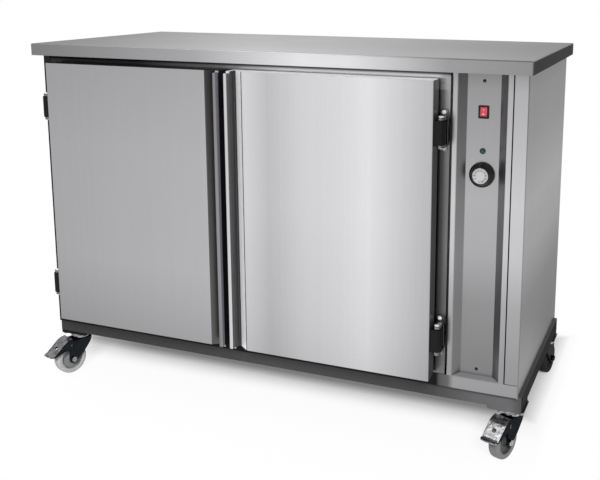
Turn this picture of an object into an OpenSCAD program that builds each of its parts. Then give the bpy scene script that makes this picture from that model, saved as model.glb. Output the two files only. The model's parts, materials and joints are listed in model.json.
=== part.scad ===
// Hot cupboard on castors: insulated stainless cabinet with two hinged doors,
// a recessed control column and a fan heater behind it.
// Frame: millimetres, +Z up, front towards -Y, origin on the floor below the worktop's centre.

/* [Worktop] */
// Width of the worktop, left to right
top_w = 1200; // [1000:10:1500]
// Depth of the worktop, front to back
top_d = 546; // [480:2:700]
// Working height above the floor
top_z = 855; // [800:5:950]
// Height of the folded worktop edge
top_edge = 28; // [22:1:45]
// Inward return folded under the worktop edge
top_return = 15; // [8:1:25]
// Sheet thickness of the worktop
top_sheet = 1.5; // [1:0.1:2.5]

/* [Cabinet] */
// Worktop overhang at each side
side_overhang = 11; // [9:1:20]
// Worktop overhang at the front
front_overhang = 28; // [20:1:40]
// Worktop overhang at the back
rear_overhang = 28; // [20:1:40]
// Underside of the cabinet above the floor
cabinet_z = 147; // [144:1:165]
// Sheet thickness of the cabinet, liners and doors
sheet = 1.2; // [0.8:0.1:1.5]
// Front return of the left side panel
left_return = 20; // [10:1:22]
// Front return of the right side panel, seen as the corner post
post_w = 28.8; // [20:0.2:40]
// Rear return of both side panels
rear_return = 20; // [12:1:30]
// Height of the floor pan's front lip
pan_lip = 29; // [22:1:34]
// Vent slots in the rear panel
vent_count = 8; // [4:1:10]
// Spacing of the vent slots
vent_pitch = 16; // [12:1:20]
// Length of a vent slot
vent_length = 60; // [30:1:80]
// Height of a vent slot
vent_slot = 5; // [3:0.5:8]
// Lowest vent slot above the cabinet's underside
vent_rise = 410; // [380:5:440]

/* [Front frame] */
// Depth of the stiles and rails
frame_depth = 24; // [18:1:35]
// Wall of the folded stiles and rails
frame_wall = 1.5; // [1:0.1:2]
// Width of the frame face behind a door's edge
land = 23; // [21:1:28]

/* [Doors] */
// Stile showing between the cabinet's left edge and the left door
left_show = 43.9; // [42:0.1:60]
// Stile showing between the right door and the control column
right_show = 22.2; // [20:0.1:30]
// Gap between the two doors
door_gap = 18; // [8:1:30]
// Door's lower edge above the floor
door_z = 175; // [172:1:195]
// Gap between the door's top edge and the worktop
door_top_gap = 15; // [8:1:25]
// Thickness of a door without its seal
door_thick = 36; // [32:1:45]
// Depth of the door seal
seal_depth = 10; // [8:0.5:12]
// Width of the door seal
seal_w = 12; // [8:0.5:13]
// Distance of the seal from the door's edge
seal_inset = 8; // [5:0.5:8]
// Height of the raised panel on the door's inner face
liner_rise = 7; // [3:0.5:7]
// Width of the grip's outer lip
lip_w = 8.8; // [6:0.2:14]
// Height of that lip above the door's face
lip_proud = 14; // [6:0.5:20]
// Lip kept short of the door's top and bottom edge
lip_end = 4; // [0:0.5:12]
// Width of the finger groove's floor
groove_floor = 4.8; // [2:0.2:12]
// Width of the slope from the groove's floor to the door's face
groove_slant = 22.7; // [14:0.1:32]
// Depth of the finger groove
groove_d = 18; // [10:0.5:22]

/* [Hinges] */
// Upper hinge's centre below the door's top edge
hinge_drop = 106; // [70:1:160]
// Lower hinge's centre above the door's bottom edge
hinge_rise = 90; // [70:1:160]
// Hinge axis outside the door's edge
hinge_out = 12.2; // [11:0.1:13]
// Hinge axis behind the door's front face
hinge_in = 15; // [13:0.5:18]
// Height of the hinge knuckle
knuckle_h = 50; // [36:1:54]
// Half width of the hinge knuckle
knuckle_r = 10.5; // [8:0.5:11]
// Thickness of the bracket's ears
ear_h = 6; // [4:0.5:7]
// Radius of an ear around the pin
ear_r = 8; // [6.5:0.5:9]
// Height of the bracket's plate
bracket_h = 88; // [86:1:100]
// Width of the bracket's plate
bracket_w = 17; // [14:1:18]
// Thickness of the bracket's plate
bracket_t = 3; // [2:0.5:4]
// Radius of the hinge pin
pin_r = 4; // [3:0.25:5]
// Spacing of the two screws of a bracket
bracket_screws = 74; // [73:0.5:75]

/* [Control column] */
// Dark gap between the right stile and the column
shadow_gap = 4.6; // [2:0.2:7]
// Width of the control column
column_w = 123; // [110:1:140]
// Seam between the column and the corner post
column_seam = 2.6; // [1:0.2:4]
// Width of the column's flat flanges
flange_w = 10; // [6:1:16]
// Width of the column's slopes
slope_w = 17; // [12:1:22]
// Depth of the recessed plate
recess_d = 14; // [10:1:18]
// Height of the sloped sill at the column's foot
column_sill = 5; // [2:1:10]
// End screws from the column's ends
column_screw = 18; // [12:1:30]
// Switch below the cabinet's top
switch_drop = 81; // [60:1:110]
// Pilot lamp below the cabinet's top
lamp_drop = 161; // [140:1:175]
// Thermostat knob below the cabinet's top
knob_drop = 210; // [204:1:260]

/* [Controls] */
// Width of the switch bezel
switch_w = 22; // [20:0.5:28]
// Height of the switch bezel
switch_h = 27; // [25:0.5:34]
// Thickness of the switch bezel
bezel_t = 2.2; // [1.5:0.1:3]
// Depth of the switch housing behind the plate
switch_depth = 22; // [16:1:30]
// Width of the rocker
rocker_w = 14; // [12:0.5:15]
// Height of the rocker
rocker_h = 18.4; // [16:0.2:19]
// Tilt of the rocker to each side
rocker_tilt = 8; // [5:1:10]
// Radius of the pilot lamp's lens
lamp_r = 5.4; // [4:0.2:7]
// Radius of the knob's skirt
knob_r = 26; // [22:0.5:30]
// Radius of the knob's dial
dial_r = 16.5; // [12:0.5:18]
// Height of the knob
knob_h = 14; // [10:1:24]
// Radius of the knob's spindle
spindle_r = 3; // [2.5:0.25:4]
// Width of the thermostat's body
thermostat_w = 46; // [36:1:56]
// Depth of the thermostat's body
thermostat_depth = 30; // [24:1:50]

/* [Chamber] */
// Insulation in the left wall
left_wall = 30; // [20:1:45]
// Insulation in the rear wall
rear_wall = 26; // [18:1:45]
// Insulation above the ceiling
ceiling_wall = 28; // [15:1:36]
// Joint between insulation boards
board_joint = 0.3; // [0.1:0.1:1]
// Height of the shelf above the chamber's floor
shelf_rise = 290; // [150:5:420]
// Thickness of the shelves
shelf_t = 1.5; // [1:0.1:2]
// Width of a shelf rail's legs
rail_w = 20; // [12:1:25]
// Thickness of a shelf rail
rail_t = 1.5; // [1:0.1:2]
// Slots across a shelf
shelf_slots = 9; // [3:1:12]
// Width of a shelf slot
shelf_slot = 10; // [6:1:12]

/* [Fan and heater] */
// Radius of the fan impeller
fan_r = 62; // [50:1:70]
// Inner radius of the impeller's blades
fan_eye = 38; // [28:1:42]
// Number of impeller blades
blade_count = 16; // [8:1:20]
// Radius of the fan shaft
shaft_r = 4; // [3:0.25:5]
// Radius of the heating ring
heater_r = 85; // [80:1:110]
// Radius of the heating tube
heater_tube = 4; // [3:0.25:5]
// Radius of the motor
motor_r = 40; // [30:1:45]
// Length of the motor
motor_l = 58; // [50:1:80]

/* [Base] */
// Base frame standing out beyond the cabinet's sides
base_proud = 7; // [0:1:10]
// Base frame set back from the cabinet's front
base_setback = 12; // [0:1:25]
// Base frame set in from the cabinet's back
base_rear = 4; // [0:1:20]
// Leg of the base frame's angle section
base_leg = 30; // [28:1:40]
// Wall of the base frame's angle section
base_wall = 3; // [2:0.5:4]
// Width of the corner pads that carry the castors
pad_w = 74; // [68:1:90]
// Thickness of the corner pads
pad_t = 8; // [4:0.5:9]

/* [Castors] */
// Radius of the wheels
wheel_r = 40; // [36:0.5:41]
// Width of the tyre
tyre_w = 25; // [20:0.5:27]
// Length of the wheel's hub
hub_l = 30; // [29:0.5:32]
// Wheel axle behind the swivel axis
trail = 32; // [28:0.5:34]
// Swivel axis from the ends of the base frame
castor_in_x = 28; // [26:1:60]
// Swivel axis from the front and back of the base frame
castor_in_y = 38; // [30:1:70]
// Wall of the fork
fork_wall = 2.5; // [2:0.1:3]
// Radius of the axle
axle_r = 4; // [3:0.25:5]
// Radius of the kingpin
kingpin_r = 6; // [5:0.25:7]
// Radius of the swivel races
race_r = 23; // [20:0.5:26]
// Half width of the castor's top plate
plate_half = 32; // [30:0.5:34]
// Direction in which the front left wheel trails
heading_front_left = 248; // [0:1:359]
// Direction in which the front right wheel trails
heading_front_right = 250; // [0:1:359]
// Direction in which the rear right wheel trails
heading_rear_right = 82; // [0:1:359]
// Direction in which the rear left wheel trails
heading_rear_left = 97; // [0:1:359]

/* [Fits] */
// Radial play of pins, shafts and screws in their holes
play = 0.05; // [0.02:0.01:0.08]
// Gap between faces that move past each other
slip = 0.3; // [0.2:0.05:0.5]

/* [Hidden] */

$fn = 48;
// Overshoot of every cutting body
cut = 1;

// Cabinet box
top_under = top_z - top_edge;
body_half = top_w / 2 - side_overhang;
body_front = -top_d / 2 + front_overhang;
body_back = top_d / 2 - rear_overhang;
inner_half = body_half - sheet;
rear_inner = body_back - 2 * sheet;
pan_top = cabinet_z + sheet;
lip_top = cabinet_z + pan_lip;

// Control column, measured from the right
column_right = body_half - post_w - column_seam;
column_left = column_right - column_w;
column_mid = (column_left + column_right) / 2;
plate_front = body_front + recess_d;
plate_back = plate_front + sheet;
stile_right = column_left - shadow_gap;

// Doors and the frame behind them
frame_front = body_front + sheet;
frame_back = frame_front + frame_depth;
door_back = frame_front - slip - seal_depth;
door_front = door_back - door_thick;
door_top = top_under - door_top_gap;
door_h = door_top - door_z;
left_door_x0 = -body_half + left_show;
right_door_x1 = stile_right - right_show;
door_w = (right_door_x1 - left_door_x0 - door_gap) / 2;
left_door_x1 = left_door_x0 + door_w;
right_door_x0 = right_door_x1 - door_w;
left_open_x0 = left_door_x0 + land;
left_open_x1 = left_door_x1 - land;
right_open_x0 = right_door_x0 + land;
right_open_x1 = right_door_x1 - land;
open_z0 = door_z + land;
open_z1 = door_top - land;

// Hinges
hinge_y = door_front + hinge_in;
hinge_zs = [door_z + hinge_rise, door_top - hinge_drop];
hinge_left_x = left_door_x0 - hinge_out;
hinge_right_x = right_door_x1 + hinge_out;
ear_z = knuckle_h / 2 + slip;
bracket_front = frame_front - bracket_t;
pin_head = 2;
pin_head_r = pin_r + 1.5;

// Heated chamber, inside its liners
chamber_x0 = -inner_half + left_wall + sheet;
chamber_x1 = stile_right - sheet;
chamber_y0 = frame_back;
chamber_y1 = rear_inner - rear_wall - sheet;
chamber_z0 = open_z0;
chamber_z1 = top_under - ceiling_wall - sheet;
baffle_x0 = right_open_x1;
baffle_x1 = baffle_x0 + sheet;
shelf_z = chamber_z0 + shelf_rise;
shelf_mid = (left_open_x1 + right_open_x0) / 2;

// Fan and heater
fan_y = (chamber_y0 + chamber_y1) / 2;
fan_z = (chamber_z0 + chamber_z1) / 2;
partition_x1 = chamber_x1 + sheet;
heater_x = (baffle_x1 + chamber_x1) / 2;
terminal_y = 15;
terminal_z = -sqrt(heater_r * heater_r - terminal_y * terminal_y);
terminal_out = 14;
collar_r = heater_tube + 5;
terminal_r = heater_tube + 0.8;
collar_t = 2;
motor_flange = 12;
motor_plate = 3;
motor_cap = 10;
shaft_hole = shaft_r + 4;
shaft_seat = 28;
fan_front = baffle_x1 + 6;
fan_back = chamber_x1 - 8;
fan_ring = 1.5;
blade_t = 1.5;
fan_hub_r = 10;

// Controls on the recessed plate
switch_z = top_under - switch_drop;
lamp_z = top_under - lamp_drop;
knob_z = top_under - knob_drop;
rocker_gap = 0.8;
rocker_proud = 3.4;
rocker_dip = 1.8;
rocker_back = 5;
rocker_pivot = 1;
rocker_pin_r = 1.5;
rocker_pin = 1.2;
housing_margin = 1.5;
lamp_flange = 1.2;
lamp_out = 4;
lamp_stem = 20;
lamp_nut = 3;
bushing_r = spindle_r + 2;
bushing_out = 3;
spindle_seat = 15;
knob_skirt = 4;
knob_grip_r = min(dial_r + 6, knob_r - knob_skirt / 2);
knob_top_r = dial_r + 1.5;
dial_t = 1;
knob_wall = 6;
tab_w = 24;
tab_t = 1.5;
tab_reach = 14;
boss_r = 6;
screw_r = 2;
screw_head_r = 4.6;
screw_dome_r = 3.4;
screw_head = 2.6;
screw_l = 14;
column_screw_zs = [lip_top + column_screw, top_under - column_screw];

// Rear fittings
vent_z0 = cabinet_z + vent_rise;
gland_z = cabinet_z + 85;
gland_r = 9;
gland_bore = 4;
gland_out = 16;
gland_nut = 5;
gland_nut_r = 13;

// Base frame and castors
base_z1 = cabinet_z;
base_z0 = base_z1 - base_leg;
base_half = body_half + base_proud;
base_y0 = body_front + base_setback;
base_y1 = body_back - base_rear;
castor_h = base_z0 - pad_t;
castor_x = base_half - castor_in_x;
castor_front_y = base_y0 + castor_in_y;
castor_rear_y = base_y1 - castor_in_y;
head_plate = 3;
race_h = 7.5;
race_z1 = castor_h - head_plate;
race_z0 = race_z1 - race_h;
cup_z1 = race_z0 - slip;
cup_z0 = cup_z1 - race_h;
crown_z0 = cup_z0 - fork_wall;
kingpin_head = 5;
kingpin_head_r = kingpin_r + 3;
leg_in = hub_l / 2 + slip;
leg_out = leg_in + fork_wall;
leg_nose = 22;
leg_heel = trail + 9;
crown_end = race_r + 2;
leg_foot_r = 11;
leg_front_drop = 4;
bolt_head = 5;
bolt_head_r = 7.5;
tyre_depth = 12;
shoulder_r = 4;
web_half = 6;
hub_r = 11;
pedal_t = 2.5;
pedal_pivot_u = trail + 2;
pedal_pivot_z = crown_z0 - 10;
pedal_pin_r = 3;
pedal_ear_r = 6;
pedal_cheek_in = leg_out + slip;
pedal_cheek_out = pedal_cheek_in + pedal_t;
pedal_top_u = crown_end + 7;
pedal_top_z = crown_z0 + 4;
pedal_knee_u = trail + 16;
pedal_knee_z = crown_z0 + 1;
pedal_heel_u = trail + 52;
pedal_heel_z = wheel_r + 18;
pedal_tip_u = trail + 65;
pedal_tip_z = wheel_r + 20;

// Box between two opposite corners
module block(lo, hi) {
    translate(lo) cube(hi - lo);
}

// Round bar along X, from x0 to x1
module bar_x(r, x0, x1) {
    translate([x0, 0, 0]) rotate([0, 90, 0]) cylinder(r = r, h = x1 - x0);
}

// Round bar along Y, from y0 to y1
module bar_y(r, y0, y1) {
    translate([0, y0, 0]) rotate([-90, 0, 0]) cylinder(r = r, h = y1 - y0);
}

// Channel section, open at the back, between two opposite corners
module channel_back(lo, hi) {
    difference() {
        block(lo, hi);
        block([lo[0] + frame_wall, lo[1] + frame_wall, lo[2] + frame_wall],
              [hi[0] - frame_wall, hi[1] + cut, hi[2] - frame_wall]);
    }
}

// Stainless sheet colour
module steel() {
    color([0.72, 0.72, 0.73]) children();
}

// Black plastic colour
module black() {
    color([0.06, 0.06, 0.06]) children();
}

// Zinc plated colour
module zinc() {
    color([0.62, 0.63, 0.64]) children();
}

// Hollow inside the folded worktop, with its mouth between the returns
module worktop_hollow(over) {
    block([-top_w / 2 + top_sheet, -top_d / 2 + top_sheet, top_under + top_sheet],
          [top_w / 2 - top_sheet, top_d / 2 - top_sheet, top_z - top_sheet]);
    block([-top_w / 2 + top_return, -top_d / 2 + top_return, top_under - over],
          [top_w / 2 - top_return, top_d / 2 - top_return, top_under + top_sheet + cut]);
}

module worktop() {
    steel() difference() {
        block([-top_w / 2, -top_d / 2, top_under], [top_w / 2, top_d / 2, top_z]);
        worktop_hollow(cut);
    }
}

module worktop_core() {
    color([0.7, 0.55, 0.38]) worktop_hollow(0);
}

// Side sheet of the cabinet, drawn for the right side
module side_panel(front_return) {
    steel() {
        block([inner_half, body_front, cabinet_z], [body_half, body_back, top_under]);
        block([body_half - front_return, body_front, lip_top], [body_half, frame_front, top_under]);
        block([body_half - rear_return, body_back - sheet, cabinet_z], [body_half, body_back, top_under]);
    }
}

module left_side_panel() {
    mirror([1, 0, 0]) side_panel(left_return);
}

module right_side_panel() {
    side_panel(post_w);
}

module rear_panel() {
    steel() difference() {
        block([-inner_half, rear_inner, pan_top], [inner_half, body_back - sheet, top_under]);
        for (i = [0 : vent_count - 1])
            translate([column_mid - vent_length / 2, rear_inner - cut, vent_z0 + i * vent_pitch])
                cube([vent_length, sheet + 2 * cut, vent_slot]);
        translate([column_mid, 0, gland_z]) bar_y(gland_r + play, rear_inner - cut, body_back + cut);
    }
}

module floor_pan() {
    steel() {
        block([-inner_half, body_front, cabinet_z], [inner_half, body_back - sheet, pan_top]);
        block([-inner_half, body_front, cabinet_z], [inner_half, frame_front, lip_top]);
    }
}

module base_frame() {
    color([0.2, 0.2, 0.21]) {
        difference() {
            block([-base_half, base_y0, base_z0], [base_half, base_y1, base_z1]);
            block([-base_half + base_wall, base_y0 + base_wall, base_z0 - cut],
                  [base_half - base_wall, base_y1 - base_wall, base_z1 - base_wall]);
            block([-base_half + base_leg, base_y0 + base_leg, base_z0 - cut],
                  [base_half - base_leg, base_y1 - base_leg, base_z1 + cut]);
        }
        for (sx = [-1, 1])
            for (at_back = [0, 1])
                translate([sx > 0 ? base_half - pad_w : -base_half,
                           at_back > 0 ? base_y1 - pad_w : base_y0, castor_h])
                    cube([pad_w, pad_w, pad_t]);
    }
}

module top_rail() {
    steel() channel_back([-inner_half, frame_front, open_z1], [stile_right, frame_back, top_under]);
}

// Stile or mullion between two X positions, with the holes of its hinge screws
module upright(x0, x1, screw_x) {
    steel() difference() {
        channel_back([x0, frame_front, pan_top], [x1, frame_back, open_z1]);
        for (x = screw_x)
            for (z = hinge_zs)
                for (s = [-1, 1])
                    translate([x, 0, z + s * bracket_screws / 2])
                        bar_y(screw_r + play, frame_front - cut, frame_front + frame_wall + cut);
    }
}

// Middle of a bracket's plate, outside the door's edge
bracket_mid = 1.5 + bracket_w / 2;
screw_left_x = left_door_x0 - bracket_mid;
screw_right_x = right_door_x1 + bracket_mid;

module left_stile() {
    upright(-inner_half, left_open_x0, [screw_left_x]);
}

module centre_mullion() {
    upright(left_open_x1, right_open_x0, []);
}

module right_stile() {
    upright(right_open_x1, stile_right, [screw_right_x]);
}

module left_liner() {
    steel() block([chamber_x0 - sheet, chamber_y0, chamber_z0 - sheet],
                  [chamber_x0, chamber_y1 + sheet, chamber_z1 + sheet]);
}

module rear_liner() {
    steel() block([chamber_x0, chamber_y1, chamber_z0 - sheet],
                  [chamber_x1, chamber_y1 + sheet, chamber_z1 + sheet]);
}

module ceiling_liner() {
    steel() block([chamber_x0, chamber_y0, chamber_z1], [chamber_x1, chamber_y1, chamber_z1 + sheet]);
}

// Chamber floor with a folded sill in each door opening
module floor_liner() {
    steel() {
        block([chamber_x0, chamber_y0, chamber_z0 - sheet], [chamber_x1, chamber_y1, chamber_z0]);
        for (span = [[left_open_x0, left_open_x1], [right_open_x0, right_open_x1]]) {
            block([span[0], frame_front, chamber_z0 - sheet], [span[1], chamber_y0 + cut, chamber_z0]);
            block([span[0], frame_front, lip_top - cut], [span[1], frame_front + sheet, chamber_z0]);
        }
    }
}

// Wall between chamber and control column, with two tabs that carry the column
module partition() {
    steel() difference() {
        union() {
            block([chamber_x1, chamber_y0, pan_top], [partition_x1, rear_inner, top_under]);
            for (z = column_screw_zs) {
                block([chamber_x1, chamber_y0, z - tab_w / 2],
                      [column_mid + tab_reach, chamber_y0 + tab_t, z + tab_w / 2]);
                translate([column_mid, 0, z]) bar_y(boss_r, plate_back, chamber_y0 + tab_t);
            }
        }
        for (z = column_screw_zs)
            translate([column_mid, 0, z]) bar_y(screw_r + play, plate_back - cut, chamber_y0 + tab_t + cut);
        translate([0, fan_y, fan_z]) bar_x(shaft_hole, chamber_x1 - cut, partition_x1 + cut);
        for (s = [-1, 1])
            translate([0, fan_y + s * terminal_y, fan_z + terminal_z])
                bar_x(terminal_r + slip, chamber_x1 - cut, partition_x1 + cut);
    }
}

// Boards between the liners and the outer sheets
module insulation() {
    x0 = -inner_half + board_joint;
    x1 = chamber_x0 - sheet - board_joint;
    y1 = chamber_y1 + sheet;
    far = chamber_x1 - board_joint;
    color([0.85, 0.8, 0.55]) {
        block([x0, chamber_y0 + board_joint, pan_top], [x1, y1, top_under]);
        block([x0, y1 + board_joint, pan_top], [far, rear_inner, top_under]);
        block([x1 + board_joint, chamber_y0 + board_joint, pan_top], [far, y1, chamber_z0 - sheet]);
        block([x1 + board_joint, chamber_y0 + board_joint, chamber_z1 + sheet], [far, y1, top_under]);
    }
}

// Angle rail for a shelf, from the front frame to the rear liner; dir points to the shelf
module shelf_rail(x, dir) {
    flat_x = dir > 0 ? x : x - rail_w;
    wall_x = dir > 0 ? x : x - rail_t;
    translate([flat_x, chamber_y0, shelf_z - rail_t]) cube([rail_w, chamber_y1 - chamber_y0, rail_t]);
    translate([wall_x, chamber_y0, shelf_z - rail_w]) cube([rail_t, chamber_y1 - chamber_y0, rail_w]);
}

module shelf_rails() {
    steel() {
        shelf_rail(chamber_x0, 1);
        shelf_rail(shelf_mid, -1);
        shelf_rail(shelf_mid, 1);
        shelf_rail(baffle_x0, -1);
    }
}

// Flat slotted shelf between two X positions, lying on its rails
module shelf(x0, x1) {
    y0 = chamber_y0 + 3 * shelf_t;
    y1 = chamber_y1 - 3 * shelf_t;
    pitch = (x1 - x0 - 2 * rail_w) / shelf_slots;
    steel() difference() {
        block([x0, y0, shelf_z], [x1, y1, shelf_z + shelf_t]);
        for (i = [0 : shelf_slots - 1])
            for (row = [0, 1])
                translate([x0 + rail_w + (i + 0.5) * pitch - shelf_slot / 2,
                           y0 + rail_w + row * (y1 - y0 - rail_w) / 2, shelf_z - cut])
                    cube([shelf_slot, (y1 - y0) / 2 - 2 * rail_w, shelf_t + 2 * cut]);
    }
}

module left_shelf() {
    shelf(chamber_x0 + slip, shelf_mid - slip);
}

module right_shelf() {
    shelf(shelf_mid + slip, baffle_x0 - slip);
}

// Folded section of the control column, as a closed outline of its sheet
function column_front() = [
    [column_left, body_front], [column_left + flange_w, body_front],
    [column_left + flange_w + slope_w, plate_front], [column_right - flange_w - slope_w, plate_front],
    [column_right - flange_w, body_front], [column_right, body_front]
];
function column_outline() = concat(column_front(),
    [for (i = [5 : -1 : 0]) column_front()[i] + [0, sheet]]);

module control_panel() {
    steel() difference() {
        union() {
            translate([0, 0, lip_top]) linear_extrude(top_under - lip_top) polygon(column_outline());
            intersection() {
                translate([0, 0, lip_top]) linear_extrude(column_sill)
                    polygon([for (i = [1 : 4]) column_front()[i] + [0, sheet / 2]]);
                translate([column_left, 0, 0]) rotate([90, 0, 90]) linear_extrude(column_w)
                    polygon([[body_front, lip_top], [plate_back, lip_top],
                             [plate_back, lip_top + column_sill],
                             [plate_front, lip_top + column_sill], [body_front, lip_top + sheet]]);
            }
        }
        block([column_mid - housing_w / 2, plate_front - cut, switch_z - housing_h / 2],
              [column_mid + housing_w / 2, plate_back + cut, switch_z + housing_h / 2]);
        translate([column_mid, 0, lamp_z]) bar_y(lamp_r - 1 + play, plate_front - cut, plate_back + cut);
        translate([column_mid, 0, knob_z]) bar_y(bushing_r + play, plate_front - cut, plate_back + cut);
        for (z = column_screw_zs)
            translate([column_mid, 0, z]) bar_y(screw_r + play, plate_front - cut, plate_back + cut);
    }
}

// Switch housing behind its bezel, and its clear mouth around the rocker
housing_w = switch_w - 2 * housing_margin;
housing_h = switch_h - 2 * housing_margin;
mouth_w = rocker_w + rocker_gap;
mouth_h = rocker_h + 2 * rocker_gap;

module switch_housing() {
    black() translate([column_mid, plate_front, switch_z]) difference() {
        union() {
            block([-switch_w / 2, -bezel_t, -switch_h / 2], [switch_w / 2, 0, switch_h / 2]);
            block([-housing_w / 2, -cut, -housing_h / 2], [housing_w / 2, switch_depth, housing_h / 2]);
        }
        block([-mouth_w / 2, -bezel_t - cut, -mouth_h / 2],
              [mouth_w / 2, switch_depth / 2, mouth_h / 2]);
        translate([0, rocker_pivot, 0])
            bar_x(rocker_pin_r + play, -mouth_w / 2 - rocker_pin, mouth_w / 2 + rocker_pin);
    }
}

module switch_rocker() {
    h = rocker_h / 2;
    face = -rocker_proud - rocker_pivot;
    dip = -rocker_dip - rocker_pivot;
    color([0.75, 0.1, 0.12])
    translate([column_mid, plate_front + rocker_pivot, switch_z]) rotate([-rocker_tilt, 0, 0]) {
        translate([-rocker_w / 2, 0, 0]) rotate([90, 0, 90]) linear_extrude(rocker_w)
            polygon([[face, h], [dip, 0], [face, -h], [0, -h],
                     [rocker_back, -h / 2], [rocker_back, h / 2], [0, h]]);
        bar_x(rocker_pin_r, -mouth_w / 2 - rocker_pin / 2, mouth_w / 2 + rocker_pin / 2);
    }
}

module pilot_lamp() {
    color([0.05, 0.3, 0.15]) translate([column_mid, plate_front, lamp_z]) {
        rotate([90, 0, 0]) rotate_extrude() intersection() {
            translate([0, lamp_flange]) scale(lamp_out) circle(r = 1);
            square([lamp_r, lamp_out + lamp_flange]);
        }
        bar_y(lamp_r + 1, -lamp_flange, 0);
        bar_y(lamp_r - 1, -cut, lamp_stem);
        translate([0, sheet, 0]) rotate([-90, 0, 0]) cylinder(r = lamp_r + 2, h = lamp_nut, $fn = 6);
    }
}

module thermostat() {
    w = thermostat_w / 2;
    color([0.8, 0.8, 0.78]) translate([column_mid, 0, knob_z]) difference() {
        union() {
            block([-w, plate_back, -w], [w, plate_back + thermostat_depth, w]);
            bar_y(bushing_r, plate_front - bushing_out, plate_back + cut);
        }
        bar_y(spindle_r + play, plate_front - bushing_out - cut, plate_back + spindle_seat + cut);
    }
}

// Knob turned about its spindle; its back clears the bushing
knob_y1 = plate_front - bushing_out - slip;
knob_y0 = knob_y1 - knob_h;

module thermostat_knob() {
    black() translate([column_mid, 0, knob_z]) {
        difference() {
            translate([0, knob_y1, 0]) rotate([90, 0, 0]) rotate_extrude()
                polygon([[0, 0], [knob_r, 0], [knob_r, knob_skirt / 2],
                         [knob_r - knob_skirt / 2, knob_skirt],
                         [knob_grip_r, knob_skirt], [knob_top_r, knob_h], [0, knob_h]]);
            bar_y(dial_r, knob_y0 - cut, knob_y0 + dial_t);
        }
        bar_y(spindle_r, knob_y1 - cut, plate_back + spindle_seat);
    }
}

module knob_dial() {
    color([0.75, 0.75, 0.75]) translate([column_mid, 0, knob_z])
        bar_y(dial_r - play, knob_y0, knob_y0 + dial_t);
}

// Pan head screw with its head on the plane y, driven towards +Y
module screw(x, y, z, length) {
    translate([x, y, z]) {
        rotate([90, 0, 0]) cylinder(r1 = screw_head_r, r2 = screw_dome_r, h = screw_head);
        bar_y(screw_r, -cut, length);
    }
}

module front_screws() {
    zinc() {
        for (z = column_screw_zs)
            screw(column_mid, plate_front, z, chamber_y0 - plate_front);
        for (x = [screw_left_x, screw_right_x])
            for (z = hinge_zs)
                for (s = [-1, 1])
                    screw(x, bracket_front, z + s * bracket_screws / 2, screw_l);
    }
}

module heating_element() {
    color([0.35, 0.33, 0.32]) translate([0, fan_y, fan_z]) {
        translate([heater_x, 0, 0]) rotate([0, 90, 0]) rotate_extrude()
            translate([heater_r, 0]) circle(r = heater_tube);
        for (s = [-1, 1])
            translate([0, s * terminal_y, terminal_z]) {
                bar_x(terminal_r, heater_x, partition_x1 + terminal_out);
                bar_x(collar_r, chamber_x1 - collar_t, chamber_x1);
            }
    }
}

module fan_motor() {
    color([0.3, 0.31, 0.33]) translate([partition_x1, fan_y, fan_z]) difference() {
        union() {
            bar_x(motor_r + motor_flange, 0, motor_plate);
            bar_x(motor_r, 0, motor_l);
            bar_x(motor_r - motor_cap, 0, motor_l + motor_cap);
        }
        bar_x(shaft_r + play, -cut, shaft_seat + cut);
    }
}

// Radial impeller: back plate, front ring, blades, hub and shaft
module fan_impeller() {
    color([0.6, 0.61, 0.62]) translate([0, fan_y, fan_z]) {
        bar_x(fan_r, fan_back - fan_ring, fan_back);
        difference() {
            bar_x(fan_r, fan_front, fan_front + fan_ring);
            bar_x(fan_eye, fan_front - cut, fan_front + fan_ring + cut);
        }
        for (i = [0 : blade_count - 1])
            rotate([i * 360 / blade_count, 0, 0])
                block([fan_front, -blade_t / 2, fan_eye + 1], [fan_back, blade_t / 2, fan_r - 1]);
        bar_x(fan_hub_r, fan_front + fan_ring, fan_back);
        bar_x(shaft_r, fan_front + fan_ring, partition_x1 + shaft_seat);
    }
}

// Removable wall in front of the fan: round intake holes and outlet slots
module air_baffle() {
    hole_r = 6;
    pitch = 18;
    slot_w = 8;
    slot_gap = (chamber_z1 - chamber_z0) / 6;
    slot_h = slot_gap - 30;
    slot_inset = 40;
    steel() difference() {
        block([baffle_x0, chamber_y0, chamber_z0], [baffle_x1, chamber_y1, chamber_z1]);
        for (i = [-2 : 2])
            for (j = [-2 : 2])
                if (abs(i) + abs(j) < 4)
                    translate([0, fan_y + i * pitch, fan_z + j * pitch])
                        bar_x(hole_r, baffle_x0 - cut, baffle_x1 + cut);
        for (y = [chamber_y0 + slot_inset, chamber_y1 - slot_inset - slot_w])
            for (k = [-2 : 2])
                translate([baffle_x0 - cut, y, fan_z + k * slot_gap - slot_h / 2])
                    cube([sheet + 2 * cut, slot_w, slot_h]);
    }
}

module cable_gland() {
    black() translate([column_mid, 0, gland_z]) difference() {
        union() {
            bar_y(gland_r, rear_inner - gland_nut, body_back - sheet + gland_out);
            for (y = [body_back - sheet, rear_inner - gland_nut])
                translate([0, y, 0]) rotate([-90, 0, 0])
                    cylinder(r = gland_nut_r, h = gland_nut, $fn = 6);
        }
        bar_y(gland_bore, rear_inner - gland_nut - cut, body_back + gland_out + cut);
    }
}

// Mitre of the grip's slope where its sheet thickness turns a corner
groove_mitre = tan(atan2(groove_d, groove_slant) / 2);
grip_w = lip_w + groove_floor + groove_slant;

// Plan of a door body with its grip at the left, shrunk by inset, ending at y_back
function door_plan(inset, y_back) = [
    [inset, door_front + inset], [lip_w - inset, door_front + inset],
    [lip_w - inset, door_front + groove_d + inset],
    [lip_w + groove_floor + groove_mitre * inset, door_front + groove_d + inset],
    [grip_w + groove_mitre * inset, door_front + inset],
    [door_w - inset, door_front + inset], [door_w - inset, y_back], [inset, y_back]
];

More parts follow.
